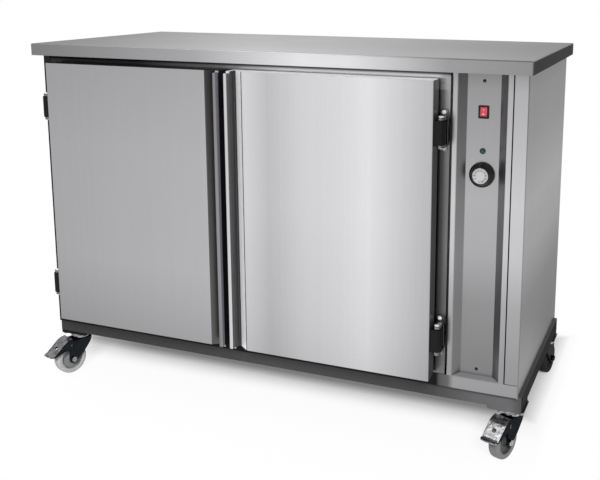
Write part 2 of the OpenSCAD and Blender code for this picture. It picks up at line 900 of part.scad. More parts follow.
// Folded outer skin, open at the back, with the raised lip of its grip
module door_skin() {
    steel() difference() {
        union() {
            translate([0, 0, door_z]) linear_extrude(door_h) polygon(door_plan(0, door_back));
            block([0, door_front - lip_proud, door_z + lip_end],
                  [lip_w, door_front + cut, door_top - lip_end]);
        }
        translate([0, 0, door_z + sheet]) linear_extrude(door_h - 2 * sheet)
            polygon(door_plan(sheet, door_back + cut));
        block([sheet, door_front - lip_proud + sheet, door_z + lip_end + sheet],
              [lip_w - sheet, door_front + sheet + cut, door_top - lip_end - sheet]);
    }
}

module door_core() {
    color([0.85, 0.8, 0.55]) translate([0, 0, door_z + sheet]) linear_extrude(door_h - 2 * sheet)
        polygon(door_plan(sheet, door_back - sheet));
}

// Inner pan that closes the skin, with a raised panel inside the seal
module door_liner() {
    raised = seal_inset + seal_w + land;
    hollow = raised + sheet;
    steel() difference() {
        union() {
            block([sheet, door_back - sheet, door_z + sheet], [door_w - sheet, door_back, door_top - sheet]);
            block([raised, door_back - sheet, door_z + raised],
                  [door_w - raised, door_back + liner_rise, door_top - raised]);
        }
        block([hollow, door_back - sheet - cut, door_z + hollow],
              [door_w - hollow, door_back + liner_rise - sheet, door_top - hollow]);
    }
}

module door_seal() {
    outer = seal_inset;
    inner = seal_inset + seal_w;
    color([0.25, 0.25, 0.27]) difference() {
        block([outer, door_back, door_z + outer], [door_w - outer, door_back + seal_depth, door_top - outer]);
        block([inner, door_back - cut, door_z + inner],
              [door_w - inner, door_back + seal_depth + cut, door_top - inner]);
    }
}

// The left door is the mirror of the right one
module at_left_door() {
    translate([left_door_x1, 0, 0]) mirror([1, 0, 0]) children();
}

module at_right_door() {
    translate([right_door_x0, 0, 0]) children();
}

module left_door_skin() {
    at_left_door() door_skin();
}

module left_door_core() {
    at_left_door() door_core();
}

module left_door_liner() {
    at_left_door() door_liner();
}

module left_door_seal() {
    at_left_door() door_seal();
}

module right_door_skin() {
    at_right_door() door_skin();
}

module right_door_core() {
    at_right_door() door_core();
}

module right_door_liner() {
    at_right_door() door_liner();
}

module right_door_seal() {
    at_right_door() door_seal();
}

// Bracket on the stile, drawn for a right hinge with its axis at the origin
module hinge_bracket() {
    difference() {
        union() {
            block([1.5 - hinge_out, bracket_front - hinge_y, -bracket_h / 2],
                  [1.5 - hinge_out + bracket_w, frame_front - hinge_y, bracket_h / 2]);
            for (z = [ear_z, -ear_z - ear_h])
                translate([0, 0, z]) {
                    cylinder(r = ear_r, h = ear_h);
                    translate([-ear_r, 0, 0]) cube([2 * ear_r, bracket_front - hinge_y + cut, ear_h]);
                }
        }
        translate([0, 0, -bracket_h / 2]) cylinder(r = pin_r + play, h = bracket_h);
        for (s = [-1, 1])
            translate([bracket_mid - hinge_out, 0, s * bracket_screws / 2])
                bar_y(screw_r + play, bracket_front - hinge_y - cut, frame_front - hinge_y + cut);
    }
}

module hinge_pin() {
    reach = ear_z + ear_h;
    translate([0, 0, -reach - pin_head]) cylinder(r = pin_head_r, h = pin_head);
    translate([0, 0, -reach - pin_head / 2]) cylinder(r = pin_r, h = 2 * reach + pin_head);
    translate([0, 0, reach]) cylinder(r = pin_head_r, h = pin_head);
}

// Knuckle on the door's edge, with its axis at the origin
module hinge_knuckle() {
    translate([0, 0, -knuckle_h / 2]) difference() {
        union() {
            cylinder(r = knuckle_r, h = knuckle_h);
            translate([-hinge_out, -knuckle_r, 0]) cube([hinge_out, 2 * knuckle_r, knuckle_h]);
        }
        translate([0, 0, -cut]) cylinder(r = pin_r + play, h = knuckle_h + 2 * cut);
    }
}

module at_right_hinges() {
    for (z = hinge_zs)
        translate([hinge_right_x, hinge_y, z]) children();
}

module at_left_hinges() {
    for (z = hinge_zs)
        translate([hinge_left_x, hinge_y, z]) mirror([1, 0, 0]) children();
}

module hinge_brackets() {
    color([0.35, 0.35, 0.36]) {
        at_left_hinges() hinge_bracket();
        at_right_hinges() hinge_bracket();
    }
}

module hinge_pins() {
    zinc() {
        at_left_hinges() hinge_pin();
        at_right_hinges() hinge_pin();
    }
}

module left_knuckles() {
    black() at_left_hinges() hinge_knuckle();
}

module right_knuckles() {
    black() at_right_hinges() hinge_knuckle();
}

// Swivel places: front left, front right, rear right, rear left
castor_places = [
    [-castor_x, castor_front_y, heading_front_left],
    [castor_x, castor_front_y, heading_front_right],
    [castor_x, castor_rear_y, heading_rear_right],
    [-castor_x, castor_rear_y, heading_rear_left]
];

// Puts a castor piece, drawn with its trail along +X, at its place
module at_castor(i) {
    translate([castor_places[i][0], castor_places[i][1], 0])
        rotate([0, 0, castor_places[i][2]]) children();
}

// Fixed half of a castor: plate, upper race and kingpin
module castor_head() {
    translate([-plate_half, -plate_half, race_z1]) cube([2 * plate_half, 2 * plate_half, head_plate]);
    translate([0, 0, race_z0]) cylinder(r1 = race_r, r2 = race_r - 3, h = race_h);
    translate([0, 0, crown_z0 - slip - kingpin_head]) {
        cylinder(r = kingpin_head_r, h = kingpin_head);
        cylinder(r = kingpin_r, h = race_z0 - crown_z0 + kingpin_head + cut);
    }
}

module castor_heads() {
    zinc() for (i = [0 : 3])
        translate([castor_places[i][0], castor_places[i][1], 0]) castor_head();
}

// Side plate of the fork in the plane of the wheel: nose, foot round the axle, heel
module fork_plate() {
    polygon([[-leg_nose, crown_z0 + fork_wall], [-leg_nose, crown_z0 - leg_front_drop],
             [-0.8 * leg_nose, crown_z0 - leg_front_drop - 10],
             [-0.4 * leg_nose, crown_z0 - leg_front_drop - 21],
             [0.15 * leg_nose, wheel_r + 9],
             [trail - leg_foot_r + 1.5, wheel_r - 5.5], [trail + leg_foot_r, wheel_r],
             [leg_heel, pedal_pivot_z], [crown_end, crown_z0 + fork_wall]]);
    translate([trail, wheel_r]) circle(r = leg_foot_r);
}

// Swivelling fork with lower race; braked forks have holes for the pedal's pins
module castor_fork(braked) {
    zinc() difference() {
        union() {
            for (v = [-leg_out, leg_in])
                translate([0, v + fork_wall, 0]) rotate([90, 0, 0]) linear_extrude(fork_wall) fork_plate();
            block([-leg_nose, -leg_out, crown_z0], [crown_end, leg_out, cup_z0]);
            translate([0, 0, cup_z0 - fork_wall / 2]) cylinder(r = race_r, h = race_h + fork_wall / 2);
        }
        translate([0, 0, crown_z0 - cut]) cylinder(r = kingpin_r + play, h = race_h + fork_wall + 2 * cut);
        translate([trail, 0, wheel_r]) bar_y(axle_r + play, -leg_out - cut, leg_out + cut);
        if (braked)
            translate([pedal_pivot_u, 0, pedal_pivot_z])
                bar_y(pedal_pin_r + play, -leg_out - cut, leg_out + cut);
    }
}

// Half section of a wheel: tyre with round shoulders, web and hub
module wheel_section() {
    bore = axle_r + play;
    rim = wheel_r - tyre_depth;
    half = tyre_w / 2;
    translate([rim, -half]) square([tyre_depth - shoulder_r, tyre_w]);
    translate([rim, -half + shoulder_r]) square([tyre_depth, tyre_w - 2 * shoulder_r]);
    for (s = [-1, 1])
        translate([wheel_r - shoulder_r, s * (half - shoulder_r)]) circle(r = shoulder_r);
    translate([bore, -web_half]) square([rim - bore + cut, 2 * web_half]);
    translate([bore, -hub_l / 2]) square([hub_r - bore, hub_l]);
}

module castor_wheel() {
    color([0.55, 0.56, 0.57]) translate([trail, 0, wheel_r]) rotate([90, 0, 0])
        rotate_extrude() wheel_section();
}

module castor_axle() {
    zinc() translate([trail, 0, wheel_r]) {
        bar_y(axle_r, -leg_out - bolt_head / 2, leg_out + bolt_head / 2);
        for (y = [-leg_out - bolt_head, leg_out])
            translate([0, y, 0]) rotate([-90, 0, 0])
                cylinder(r = bolt_head_r, h = bolt_head, $fn = 6);
    }
}

// Bent tread of the pedal, in the plane of the wheel
module pedal_tread() {
    polygon([[pedal_top_u, pedal_top_z], [pedal_knee_u, pedal_knee_z], [pedal_heel_u, pedal_heel_z],
             [pedal_tip_u, pedal_tip_z], [pedal_tip_u, pedal_tip_z + pedal_t],
             [pedal_heel_u + pedal_t, pedal_heel_z + pedal_t],
             [pedal_knee_u + pedal_t, pedal_knee_z + pedal_t],
             [pedal_top_u + pedal_t, pedal_top_z + pedal_t]]);
}

// Cheek that joins the tread to its pivot
module pedal_cheek() {
    translate([pedal_pivot_u, pedal_pivot_z]) circle(r = pedal_ear_r);
    polygon([[pedal_pivot_u, pedal_pivot_z - pedal_ear_r], [pedal_heel_u, pedal_heel_z],
             [pedal_heel_u + pedal_t, pedal_heel_z + pedal_t],
             [pedal_knee_u + pedal_t, pedal_knee_z + pedal_t],
             [pedal_top_u + pedal_t, pedal_top_z + pedal_t],
             [pedal_pivot_u, pedal_pivot_z + pedal_ear_r]]);
}

module castor_pedal() {
    zinc() {
        translate([0, pedal_cheek_out, 0]) rotate([90, 0, 0])
            linear_extrude(2 * pedal_cheek_out) pedal_tread();
        for (v = [-pedal_cheek_out, pedal_cheek_in])
            translate([0, v + pedal_t, 0]) rotate([90, 0, 0]) linear_extrude(pedal_t) pedal_cheek();
        translate([pedal_pivot_u, 0, pedal_pivot_z]) {
            bar_y(pedal_pin_r, -pedal_cheek_out, -leg_in);
            bar_y(pedal_pin_r, leg_in, pedal_cheek_out);
        }
    }
}

module front_left_fork() {
    at_castor(0) castor_fork(true);
}

module front_right_fork() {
    at_castor(1) castor_fork(true);
}

module rear_right_fork() {
    at_castor(2) castor_fork(false);
}

module rear_left_fork() {
    at_castor(3) castor_fork(false);
}

module front_left_wheel() {
    at_castor(0) castor_wheel();
}

module front_right_wheel() {
    at_castor(1) castor_wheel();
}

module rear_right_wheel() {
    at_castor(2) castor_wheel();
}

module rear_left_wheel() {
    at_castor(3) castor_wheel();
}

module front_left_axle() {
    at_castor(0) castor_axle();
}

module front_right_axle() {
    at_castor(1) castor_axle();
}

module rear_right_axle() {
    at_castor(2) castor_axle();
}

module rear_left_axle() {
    at_castor(3) castor_axle();
}

module front_left_pedal() {
    at_castor(0) castor_pedal();
}

module front_right_pedal() {
    at_castor(1) castor_pedal();
}

worktop();
worktop_core();
left_side_panel();
right_side_panel();
rear_panel();
floor_pan();
base_frame();
top_rail();
left_stile();
centre_mullion();
right_stile();
left_liner();
partition();
rear_liner();
ceiling_liner();
floor_liner();
insulation();
shelf_rails();
left_shelf();
right_shelf();
control_panel();
switch_housing();
switch_rocker();
pilot_lamp();
thermostat();
thermostat_knob();
knob_dial();
front_screws();
heating_element();
fan_motor();
fan_impeller();
air_baffle();
cable_gland();
left_door_skin();
left_door_core();
left_door_liner();
left_door_seal();
right_door_skin();
right_door_core();
right_door_liner();
right_door_seal();
hinge_brackets();
hinge_pins();
left_knuckles();
right_knuckles();
castor_heads();
front_left_fork();
front_right_fork();
rear_right_fork();
rear_left_fork();
front_left_wheel();
front_right_wheel();
rear_right_wheel();
rear_left_wheel();
front_left_axle();
front_right_axle();
rear_right_axle();
rear_left_axle();
front_left_pedal();
front_right_pedal();
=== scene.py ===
# %% [markdown]
# # A hot cupboard on castors
# The object is a heated stainless cabinet: a worktop, two doors with finger grooves, a control
# column, a dark base frame and four swivel castors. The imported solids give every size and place.
# This lesson dresses them: each visible piece is modelled again with its folds and rounded edges,
# and each surface gets a finish made of shader nodes.

# %% Load the frame
import json
import math

import bpy
from mathutils import Matrix, Vector


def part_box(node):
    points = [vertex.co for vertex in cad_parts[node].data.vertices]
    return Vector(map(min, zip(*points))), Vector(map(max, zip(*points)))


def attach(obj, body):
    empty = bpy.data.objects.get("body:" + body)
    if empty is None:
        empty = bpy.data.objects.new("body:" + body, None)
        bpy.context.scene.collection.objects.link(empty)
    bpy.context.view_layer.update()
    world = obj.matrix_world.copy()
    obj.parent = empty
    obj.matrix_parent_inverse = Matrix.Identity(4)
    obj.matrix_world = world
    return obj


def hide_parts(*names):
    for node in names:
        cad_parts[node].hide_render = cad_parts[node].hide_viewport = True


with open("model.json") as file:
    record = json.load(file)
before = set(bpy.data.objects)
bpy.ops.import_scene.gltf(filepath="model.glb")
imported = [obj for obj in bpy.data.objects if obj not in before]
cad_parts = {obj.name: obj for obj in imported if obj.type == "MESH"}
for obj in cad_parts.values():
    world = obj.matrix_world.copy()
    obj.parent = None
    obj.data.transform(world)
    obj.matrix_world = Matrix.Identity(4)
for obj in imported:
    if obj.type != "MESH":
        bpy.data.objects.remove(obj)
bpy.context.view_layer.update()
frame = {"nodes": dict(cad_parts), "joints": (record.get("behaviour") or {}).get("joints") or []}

MM = 0.001
joint_at = {joint["name"]: Vector(joint["pos_m"]) for joint in frame["joints"]}

# %% [markdown]
# ## Camera
# The photograph looks slightly down at the front right corner from eye height. A lens shift keeps
# the upright edges nearly parallel, as a product photographer does. The shift is kept small,
# because a large one would push the object out of the frame in other views.

# %% Camera
CAMERA_PLACE = Vector((0.8923, -1.9419, 1.0048))
CAMERA_YAW = math.radians(21.184)
CAMERA_PITCH = math.radians(10.592)
CAMERA_ROLL = math.radians(0.189)
LENS = 52.41
SHIFT_X, SHIFT_Y = -0.10, -0.16


def deselect():
    """Leave nothing selected, because an operator acts on all that is selected."""
    bpy.ops.object.select_all(action="DESELECT")


deselect()
bpy.ops.object.camera_add()
camera = bpy.context.object
camera.data.lens = LENS
camera.data.shift_x = SHIFT_X
camera.data.shift_y = SHIFT_Y
camera.matrix_world = (
    Matrix.Translation(CAMERA_PLACE)
    @ Matrix.Rotation(CAMERA_YAW, 4, "Z")
    @ Matrix.Rotation(math.pi / 2 - CAMERA_PITCH, 4, "X")
    @ Matrix.Rotation(CAMERA_ROLL, 4, "Z")
)
bpy.context.scene.camera = camera
bpy.context.scene.view_settings.view_transform = "Standard"
print("Camera:", LENS, "mm lens")

# %% [markdown]
# ## Writing shaders as sums
# A finish is a small recipe of noise and sums. Wiring every Math node by hand would hide the
# recipe, so one class wraps a socket: an expression such as 1 - mask adds the nodes, and its node
# method adds any other kind.

# %% Shader wires
class Wire:
    """A shader value. Sums on it add Math nodes, and node() adds any other node."""

    def __init__(self, tree, socket=None):
        self.tree = tree
        self.socket = socket

    def node(self, kind, settings, sockets, output=0):
        made = self.tree.nodes.new(kind)
        for name, value in settings.items():
            if name == "stops":
                ramp = made.color_ramp.elements
                while len(ramp) < len(value):
                    ramp.new(1.0)
                for stop, (place, colour) in zip(ramp, value):
                    stop.position = place
                    stop.color = colour
            else:
                setattr(made, name, value)
        for name, value in sockets.items():
            if isinstance(value, Wire):
                self.tree.links.new(value.socket, made.inputs[name])
            else:
                made.inputs[name].default_value = value
        return Wire(self.tree, made.outputs[output])

    def maths(self, operation, first, second):
        return self.node("ShaderNodeMath", {"operation": operation}, {0: first, 1: second})

    def __add__(self, other):
        return self.maths("ADD", self, other)

    def __radd__(self, other):
        return self.maths("ADD", other, self)

    def __sub__(self, other):
        return self.maths("SUBTRACT", self, other)

    def __rsub__(self, other):
        return self.maths("SUBTRACT", other, self)

    def __mul__(self, other):
        return self.maths("MULTIPLY", self, other)

    def __rmul__(self, other):
        return self.maths("MULTIPLY", other, self)

    def into(self, shader, socket):
        self.tree.links.new(self.socket, shader.inputs[socket])


finish = {}


def new_finish(name, constants):
    """Keep a new material as a finish; gives its Principled shader and a wire for its nodes."""
    material = bpy.data.materials.new(name)
    material.use_nodes = True
    shader = material.node_tree.nodes["Principled BSDF"]
    for socket, value in constants.items():
        shader.inputs[socket].default_value = value
    finish[name] = material
    return shader, Wire(material.node_tree)


def grey(level, tint=0.0):
    """A grey as a colour; a positive tint makes it a little cooler and more violet."""
    return (level, level * (1 - tint), level * (1 + tint), 1.0)


def own_place(wire):
    """Where a point lies on the piece, in metres."""
    return wire.node("ShaderNodeTexCoord", {}, {}, "Object")


def coordinate(wire, place, axis):
    return wire.node("ShaderNodeSeparateXYZ", {}, {"Vector": place}, axis)


def noise(wire, per_metre, detail=2.0):
    """Noise on the piece's own metres; per_metre counts its grains along X, Y and Z."""
    place = wire.node("ShaderNodeMapping", {}, {"Vector": own_place(wire), "Scale": per_metre})
    return wire.node("ShaderNodeTexNoise", {}, {"Vector": place, "Scale": 1.0, "Detail": detail})


def ramp(wire, amount, stops):
    """A colour that goes through (amount, colour) pairs."""
    return wire.node("ShaderNodeValToRGB", {"stops": stops}, {"Fac": amount})


def between(wire, amount, low, high):
    """A colour that goes from low to high as the amount goes from 0 to 1."""
    return ramp(wire, amount, [(0.0, low), (1.0, high)])


def bump(wire, height, depth):
    """A normal from a height pattern; depth is its height in metres."""
    sockets = {"Height": height, "Distance": depth, "Strength": 1.0}
    return wire.node("ShaderNodeBump", {}, sockets, "Normal")


def fade(wire, value, start, end, low, high):
    """Goes from low to high while the value goes from start to end."""
    ends = {"Value": value, "From Min": start, "From Max": end, "To Min": low, "To Max": high}
    return wire.node("ShaderNodeMapRange", {}, ends)


def levels_along(wire, axis, levels):
    """A level that goes smoothly through (metres, level) pairs along one axis of the piece."""
    start, end = levels[0][0], levels[-1][0]
    amount = fade(wire, coordinate(wire, own_place(wire), axis), start, end, 0.0, 1.0)
    stops = [((metres - start) / (end - start), grey(level)) for metres, level in levels]
    return ramp(wire, amount, stops)


def shared(wire, colour, shares):
    """A colour dimmed by its shares, bands of painted light and shade: pairs of an axis and the
    levels along it.
    """
    for axis, levels in shares:
        sockets = {0: colour, "Scale": levels_along(wire, axis, levels)}
        colour = wire.node("ShaderNodeVectorMath", {"operation": "SCALE"}, sockets, "Vector")
    return colour


print("Shader helpers ready")

# %% [markdown]
# ## Stainless finishes
# Catering sheet is brushed: fine scratches run one way, so the metal looks streaked along the
# brush and dull across it. Three noises make it: hair-fine grain, soft streaks a few millimetres
# wide, and a slow cloud from rolling and wiping. They vary colour and roughness by a few percent,
# and the grain also makes a bump. The brush runs upright on doors and panels, and along the
# worktop.

# %% Stainless finishes
GRAIN = 900
STREAK = 130
CLOUD = (3, 3, 3)
BRUSH_STRETCH = 120
TONE_SPREAD = 0.06
ROUGH_SPREAD = 0.10
GRAIN_DEPTH = 0.03 * MM


def brushed_steel(name, tone, roughness, brush, shares=(), metallic=1.0, tint=0.012, rim=1.0):
    """Brushed sheet of a given tone; brush is the axis that its scratches follow.

    shares lists an axis with the levels along it: painted reflection and shade, bands that make the
    sheet lighter or darker.
    rim is how bright the sheet is at a glancing angle; a low rim darkens a sheet seen edge-on,
    painted shade.
    """
    shader, wire = new_finish(name, {"Metallic": metallic, "Specular Tint": grey(rim)})
    stretch = [BRUSH_STRETCH if axis == brush else 1 for axis in "XYZ"]
    grain = noise(wire, [GRAIN / longer for longer in stretch])
    streak = noise(wire, [STREAK / longer for longer in stretch])
    cloud = noise(wire, CLOUD)
    shade = 0.30 * grain + 0.40 * streak + 0.30 * cloud
    low, high = grey(tone * (1 - TONE_SPREAD), tint), grey(tone * (1 + TONE_SPREAD), tint)
    shared(wire, between(wire, shade, low, high), shares).into(shader, "Base Color")
    rough = roughness + ROUGH_SPREAD * (grain - 0.5) + ROUGH_SPREAD * (cloud - 0.5)
    rough.into(shader, "Roughness")
    bump(wire, grain, GRAIN_DEPTH).into(shader, "Normal")


# Painted reflection and shade: the tables of bands below make a sheet lighter or darker along an
# axis, where it would reflect more or less of the room or lie in shade.
HEIGHTS = (0.15, 0.22, 0.34, 0.45, 0.56, 0.70, 0.79, 0.83)


def up_the_wall(*levels):
    """Bands of painted reflection and shade on an upright sheet, with a level at each of the
    HEIGHTS.
    """
    return [("Z", list(zip(HEIGHTS, levels)))]


# Painted reflection: the worktop's top and front are lighter where they would face the bright part
# of the room.
TOP_BANDS = [
    ("Y", [(-0.29, 1.0), (0.0, 0.84), (0.29, 0.74)]),
    ("X", [(-0.6, 0.74), (-0.35, 0.84), (-0.1, 0.95), (0.2, 1.0), (0.4, 0.84), (0.61, 0.70)]),
]
TOP_FRONT_BANDS = [
    ("X", [(-0.6, 0.35), (-0.15, 0.55), (0.11, 1.0), (0.22, 0.95), (0.43, 0.43), (0.6, 0.36)]),
]
# Painted reflection and shadow: the upright sheets are darker low down and just under the worktop,
# and the stile is darker below its top, painted shade of the right door.
UPRIGHT_BANDS = up_the_wall(0.52, 0.54, 0.64, 0.92, 1.0, 0.84, 0.74, 0.54)
STILE_BANDS = up_the_wall(0.46, 0.40, 0.34, 0.46, 0.46, 0.50, 0.88, 0.70)
SIDE_BANDS = up_the_wall(0.36, 0.40, 0.52, 0.88, 1.0, 0.73, 0.64, 0.50)
# Painted reflection: the doors are lighter and darker in bands across and up, as reflections of the
# room.
LEFT_DOOR_BANDS = [("Z", [(0.17, 0.82), (0.35, 1.0), (0.62, 1.0), (0.82, 0.90)])]
ACROSS_RIGHT_DOOR = [(-0.05, 1.0), (0.0, 0.84), (0.04, 0.70), (0.12, 0.84), (0.20, 0.88)]
ACROSS_RIGHT_DOOR += [(0.27, 0.98), (0.36, 0.74), (0.41, 0.62)]
RIGHT_DOOR_BANDS = [
    ("X", ACROSS_RIGHT_DOOR),
    ("Z", [(0.17, 0.76), (0.32, 0.86), (0.52, 0.97), (0.82, 1.0)]),
]
# Painted shadow and reflection: the top rail is dark under the worktop's edge and at its left, and
# bright where it would reflect the doors.
RAIL_BANDS = [
    ("Z", [(0.812, 1.0), (0.816, 0.90), (0.821, 0.10), (0.828, 0.04)]),
    ("X", [(-0.32, 0.05), (-0.10, 0.35), (0.06, 1.0), (0.40, 1.0), (0.43, 0.45), (0.46, 0.45)]),
]
# Painted shade: the floor pan's lip is dark under the doors, which shade it, and along its foot.
LIP_BANDS = [
    ("Z", [(0.1478, 0.03), (0.1495, 1.0)]),
    ("X", [(0.412, 0.04), (0.420, 0.30), (0.438, 0.42), (0.450, 1.0)]),
]
# Painted shade: the left door's free wall keeps its tone near its front and turns near-black deeper
# in the gap between the doors.
lip_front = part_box("left_door_skin")[0].y
FREE_EDGE_BANDS = [
    ("Y", [(lip_front, 1.0), (lip_front + 10 * MM, 0.9), (lip_front + 12 * MM, 0.04)]),
]
brushed_steel("worktop_steel", 0.75, 0.30, "X", TOP_BANDS)
brushed_steel("worktop_front", 0.92, 0.30, "X", TOP_FRONT_BANDS)
# Painted shade: the worktop's end is a darker copy whose glancing reflection is dimmed by its low
# rim.
brushed_steel("worktop_end", 0.50, 0.22, "Y", rim=0.16)
brushed_steel("cabinet_steel", 0.70, 0.30, "Z", UPRIGHT_BANDS)
# The side panels' copy carries its own bands of painted reflection.
brushed_steel("side_steel", 0.88, 0.30, "Z", SIDE_BANDS)
# Painted shade: the column's recessed plate is a darker copy of the cabinet steel.
brushed_steel("recess_steel", 0.50, 0.30, "Z", UPRIGHT_BANDS)
# Painted reflection: the left door is a darker copy of the right door's steel.
brushed_steel("left_door_steel", 0.56, 0.30, "Z", LEFT_DOOR_BANDS)
brushed_steel("right_door_steel", 0.88, 0.26, "Z", RIGHT_DOOR_BANDS)
# Painted light and shade on the doors: near-black copies in the grooves, darker copies on the lips,
# and pale, little-metallic copies on the edges.
brushed_steel("left_door_groove", 0.13, 0.34, "Z")
brushed_steel("right_door_groove", 0.10, 0.34, "Z", metallic=0.7)
brushed_steel("left_door_lip", 0.34, 0.30, "Z", LEFT_DOOR_BANDS)
brushed_steel("right_door_lip", 0.74, 0.26, "Z")
brushed_steel("left_door_edge", 0.22, 0.40, "Z", FREE_EDGE_BANDS, metallic=0.1, tint=0.10)
brushed_steel("right_door_edge", 0.90, 0.36, "Z", metallic=0.2)
# Painted shade: near-black steel for the front frame on the left; copies with painted bands for the
# stile, the top rail and the floor pan's lip, and a dark copy for the column's sill.
brushed_steel("frame_steel", 0.03, 0.34, "Z")
brushed_steel("stile_steel", 0.45, 0.26, "Z", STILE_BANDS)
brushed_steel("rail_steel", 0.92, 0.30, "X", RAIL_BANDS)
brushed_steel("lip_steel", 0.40, 0.30, "X", LIP_BANDS)
brushed_steel("sill_steel", 0.24, 0.36, "X", metallic=0.3)
brushed_steel("liner_steel", 0.58, 0.26, "Y")
print("Stainless finishes:", list(finish))

# %% [markdown]
# ## Painted, moulded and plated finishes
# The base frame is sprayed, so it has an orange-peel skin. Moulded plastic has a fine eroded
# grain. Zinc plate is mirror-like but cloudy, with a faint cool tint. Each recipe is a function,
# because several pieces share it with other colours.

# %% Paint, plastic and plating
PEEL_DEPTH = 0.12 * MM
PLASTIC_GRAIN = 0.04 * MM
FINE_GRAIN = 0.01 * MM


def sprayed_paint(name, low, high, roughness, gloss=0.5, shares=()):
    shader, wire = new_finish(name, {"Specular IOR Level": gloss})
    peel = noise(wire, (420, 420, 420), 1.0)
    cloud = noise(wire, (14, 14, 14))
    colour = between(wire, 0.35 * peel + 0.65 * cloud, low, high)
    shared(wire, colour, shares).into(shader, "Base Color")
    (roughness + 0.16 * (cloud - 0.5)).into(shader, "Roughness")
    bump(wire, peel, PEEL_DEPTH).into(shader, "Normal")


def moulded_plastic(name, low, high, roughness, grain_depth=PLASTIC_GRAIN, coat=0.0, gloss=0.5):
    constants = {"Coat Weight": coat, "Coat Roughness": 0.08, "Specular IOR Level": gloss}
    shader, wire = new_finish(name, constants)
    grain = noise(wire, (2600, 2600, 2600), 1.0)
    cloud = noise(wire, (60, 60, 60))
    between(wire, 0.5 * grain + 0.5 * cloud, low, high).into(shader, "Base Color")
    (roughness + 0.12 * (grain - 0.5) + 0.06 * (cloud - 0.5)).into(shader, "Roughness")
    bump(wire, grain, grain_depth).into(shader, "Normal")


def plated_metal(name, low, high, roughness, metallic=1.0, dents=0.0, rim=1.0):
    """Plating with clouds of colour; dents adds the spangle and hollows of hard use."""
    shader, wire = new_finish(name, {"Metallic": metallic, "Specular Tint": grey(rim)})
    cloud = noise(wire, (55, 55, 55), 3.0)
    fine = noise(wire, (1500, 1500, 1500), 1.0)
    shade, height = 0.75 * cloud + 0.25 * fine, fine
    if dents:
        hollow = noise(wire, (110, 110, 110), 1.0)
        shade = 0.35 * cloud + 0.65 * fade(wire, hollow, 0.30, 0.62, 0.0, 1.0)
        height = fine + dents * hollow
    between(wire, shade, low, high).into(shader, "Base Color")
    (roughness + 0.14 * (cloud - 0.5) + 0.05 * (fine - 0.5)).into(shader, "Roughness")
    bump(wire, height, FINE_GRAIN).into(shader, "Normal")


# Painted sheen and shade: the base paint is darker to the left and brightest by the front right
# corner, where it would catch the light.
PAINTED_SHEEN_LEVELS = [(-0.6, 0.26), (-0.2, 0.32), (0.0, 0.43), (0.40, 0.36), (0.50, 0.9)]
PAINTED_SHEEN_LEVELS += [(0.57, 1.0), (0.6, 0.4)]
RED = (0.36, 0.034, 0.042, 1), (0.48, 0.056, 0.066, 1)
GREEN = (0.002, 0.020, 0.013, 1), (0.006, 0.040, 0.027, 1)
BLUE_BLACK = (0.010, 0.013, 0.016, 1), (0.040, 0.046, 0.053, 1)
BURNT_GREY = (0.16, 0.13, 0.12, 1), (0.34, 0.30, 0.28, 1)
painted_sheen_shares = [("X", PAINTED_SHEEN_LEVELS)]
sprayed_paint("base_paint", grey(0.062, 0.02), grey(0.112, 0.02), 0.40, 0.4, painted_sheen_shares)
# Painted shade: a near-black copy of the base paint, for the frame's sideways-facing ends and the
# pads on the left.
sprayed_paint("base_end_paint", grey(0.006), grey(0.012), 0.60, 0.04)
sprayed_paint("motor_paint", grey(0.10, 0.05), grey(0.16, 0.05), 0.5)
moulded_plastic("black_plastic", grey(0.006), grey(0.014), 0.38, gloss=0.25)
moulded_plastic("hinge_black", grey(0.003), grey(0.008), 0.32, gloss=0.15)
moulded_plastic("knob_plastic", grey(0.004), grey(0.010), 0.20, FINE_GRAIN, coat=0.15, gloss=0.25)
moulded_plastic("pale_plastic", grey(0.55), grey(0.68), 0.45)
moulded_plastic("red_rocker", *RED, 0.26, coat=0.2)
moulded_plastic("green_lens", *GREEN, 0.14, FINE_GRAIN, coat=0.6)
# Partly real, partly painted highlight: plated screws, made pale and only partly metallic so that
# they show white like a glint.
plated_metal("bright_screw", grey(0.84), grey(0.95), 0.26, metallic=0.4)
plated_metal("dark_screw", grey(0.03), grey(0.08), 0.34)
plated_metal("hinge_metal", grey(0.16, 0.02), grey(0.34, 0.02), 0.22)
plated_metal("castor_zinc", grey(0.24, 0.04), grey(0.72, 0.01), 0.22, dents=60)
plated_metal("race_zinc", grey(0.26, 0.03), grey(0.62, 0.01), 0.18)
plated_metal("fork_zinc", *BLUE_BLACK, 0.22, rim=0.5)
plated_metal("impeller_metal", grey(0.50, 0.02), grey(0.68), 0.30)
plated_metal("heater_tube", *BURNT_GREY, 0.42)
print("Finishes so far:", len(finish))

# %% [markdown]
# ## Rubber, board and wool
# Door seals are soft black rubber with a dusty bloom. The castor tyres are pale grey rubber round
# a darker core. Inside the sheets there is particle board under the worktop and mineral wool in
# the walls: they hardly show, but each still has its own chips or fibres.

# %% Rubber, board and wool
SKIN_DEPTH = 0.05 * MM


def soft_rubber(name, low, high, roughness, gloss=0.35):
    shader, wire = new_finish(name, {"Specular IOR Level": gloss})
    bloom = noise(wire, (90, 90, 90), 4.0)
    skin = noise(wire, (1800, 1800, 1800), 1.0)
    between(wire, 0.8 * bloom + 0.2 * skin, low, high).into(shader, "Base Color")
    (roughness + 0.20 * (bloom - 0.5)).into(shader, "Roughness")
    bump(wire, skin, SKIN_DEPTH).into(shader, "Normal")


def loose_fibre(name, low, high, per_metre, depth):
    shader, wire = new_finish(name, {"Roughness": 0.9, "Specular IOR Level": 0.15})
    strand = noise(wire, per_metre, 4.0)
    clump = noise(wire, (45, 45, 45), 2.0)
    between(wire, 0.6 * strand + 0.4 * clump, low, high).into(shader, "Base Color")
    bump(wire, strand, depth).into(shader, "Normal")


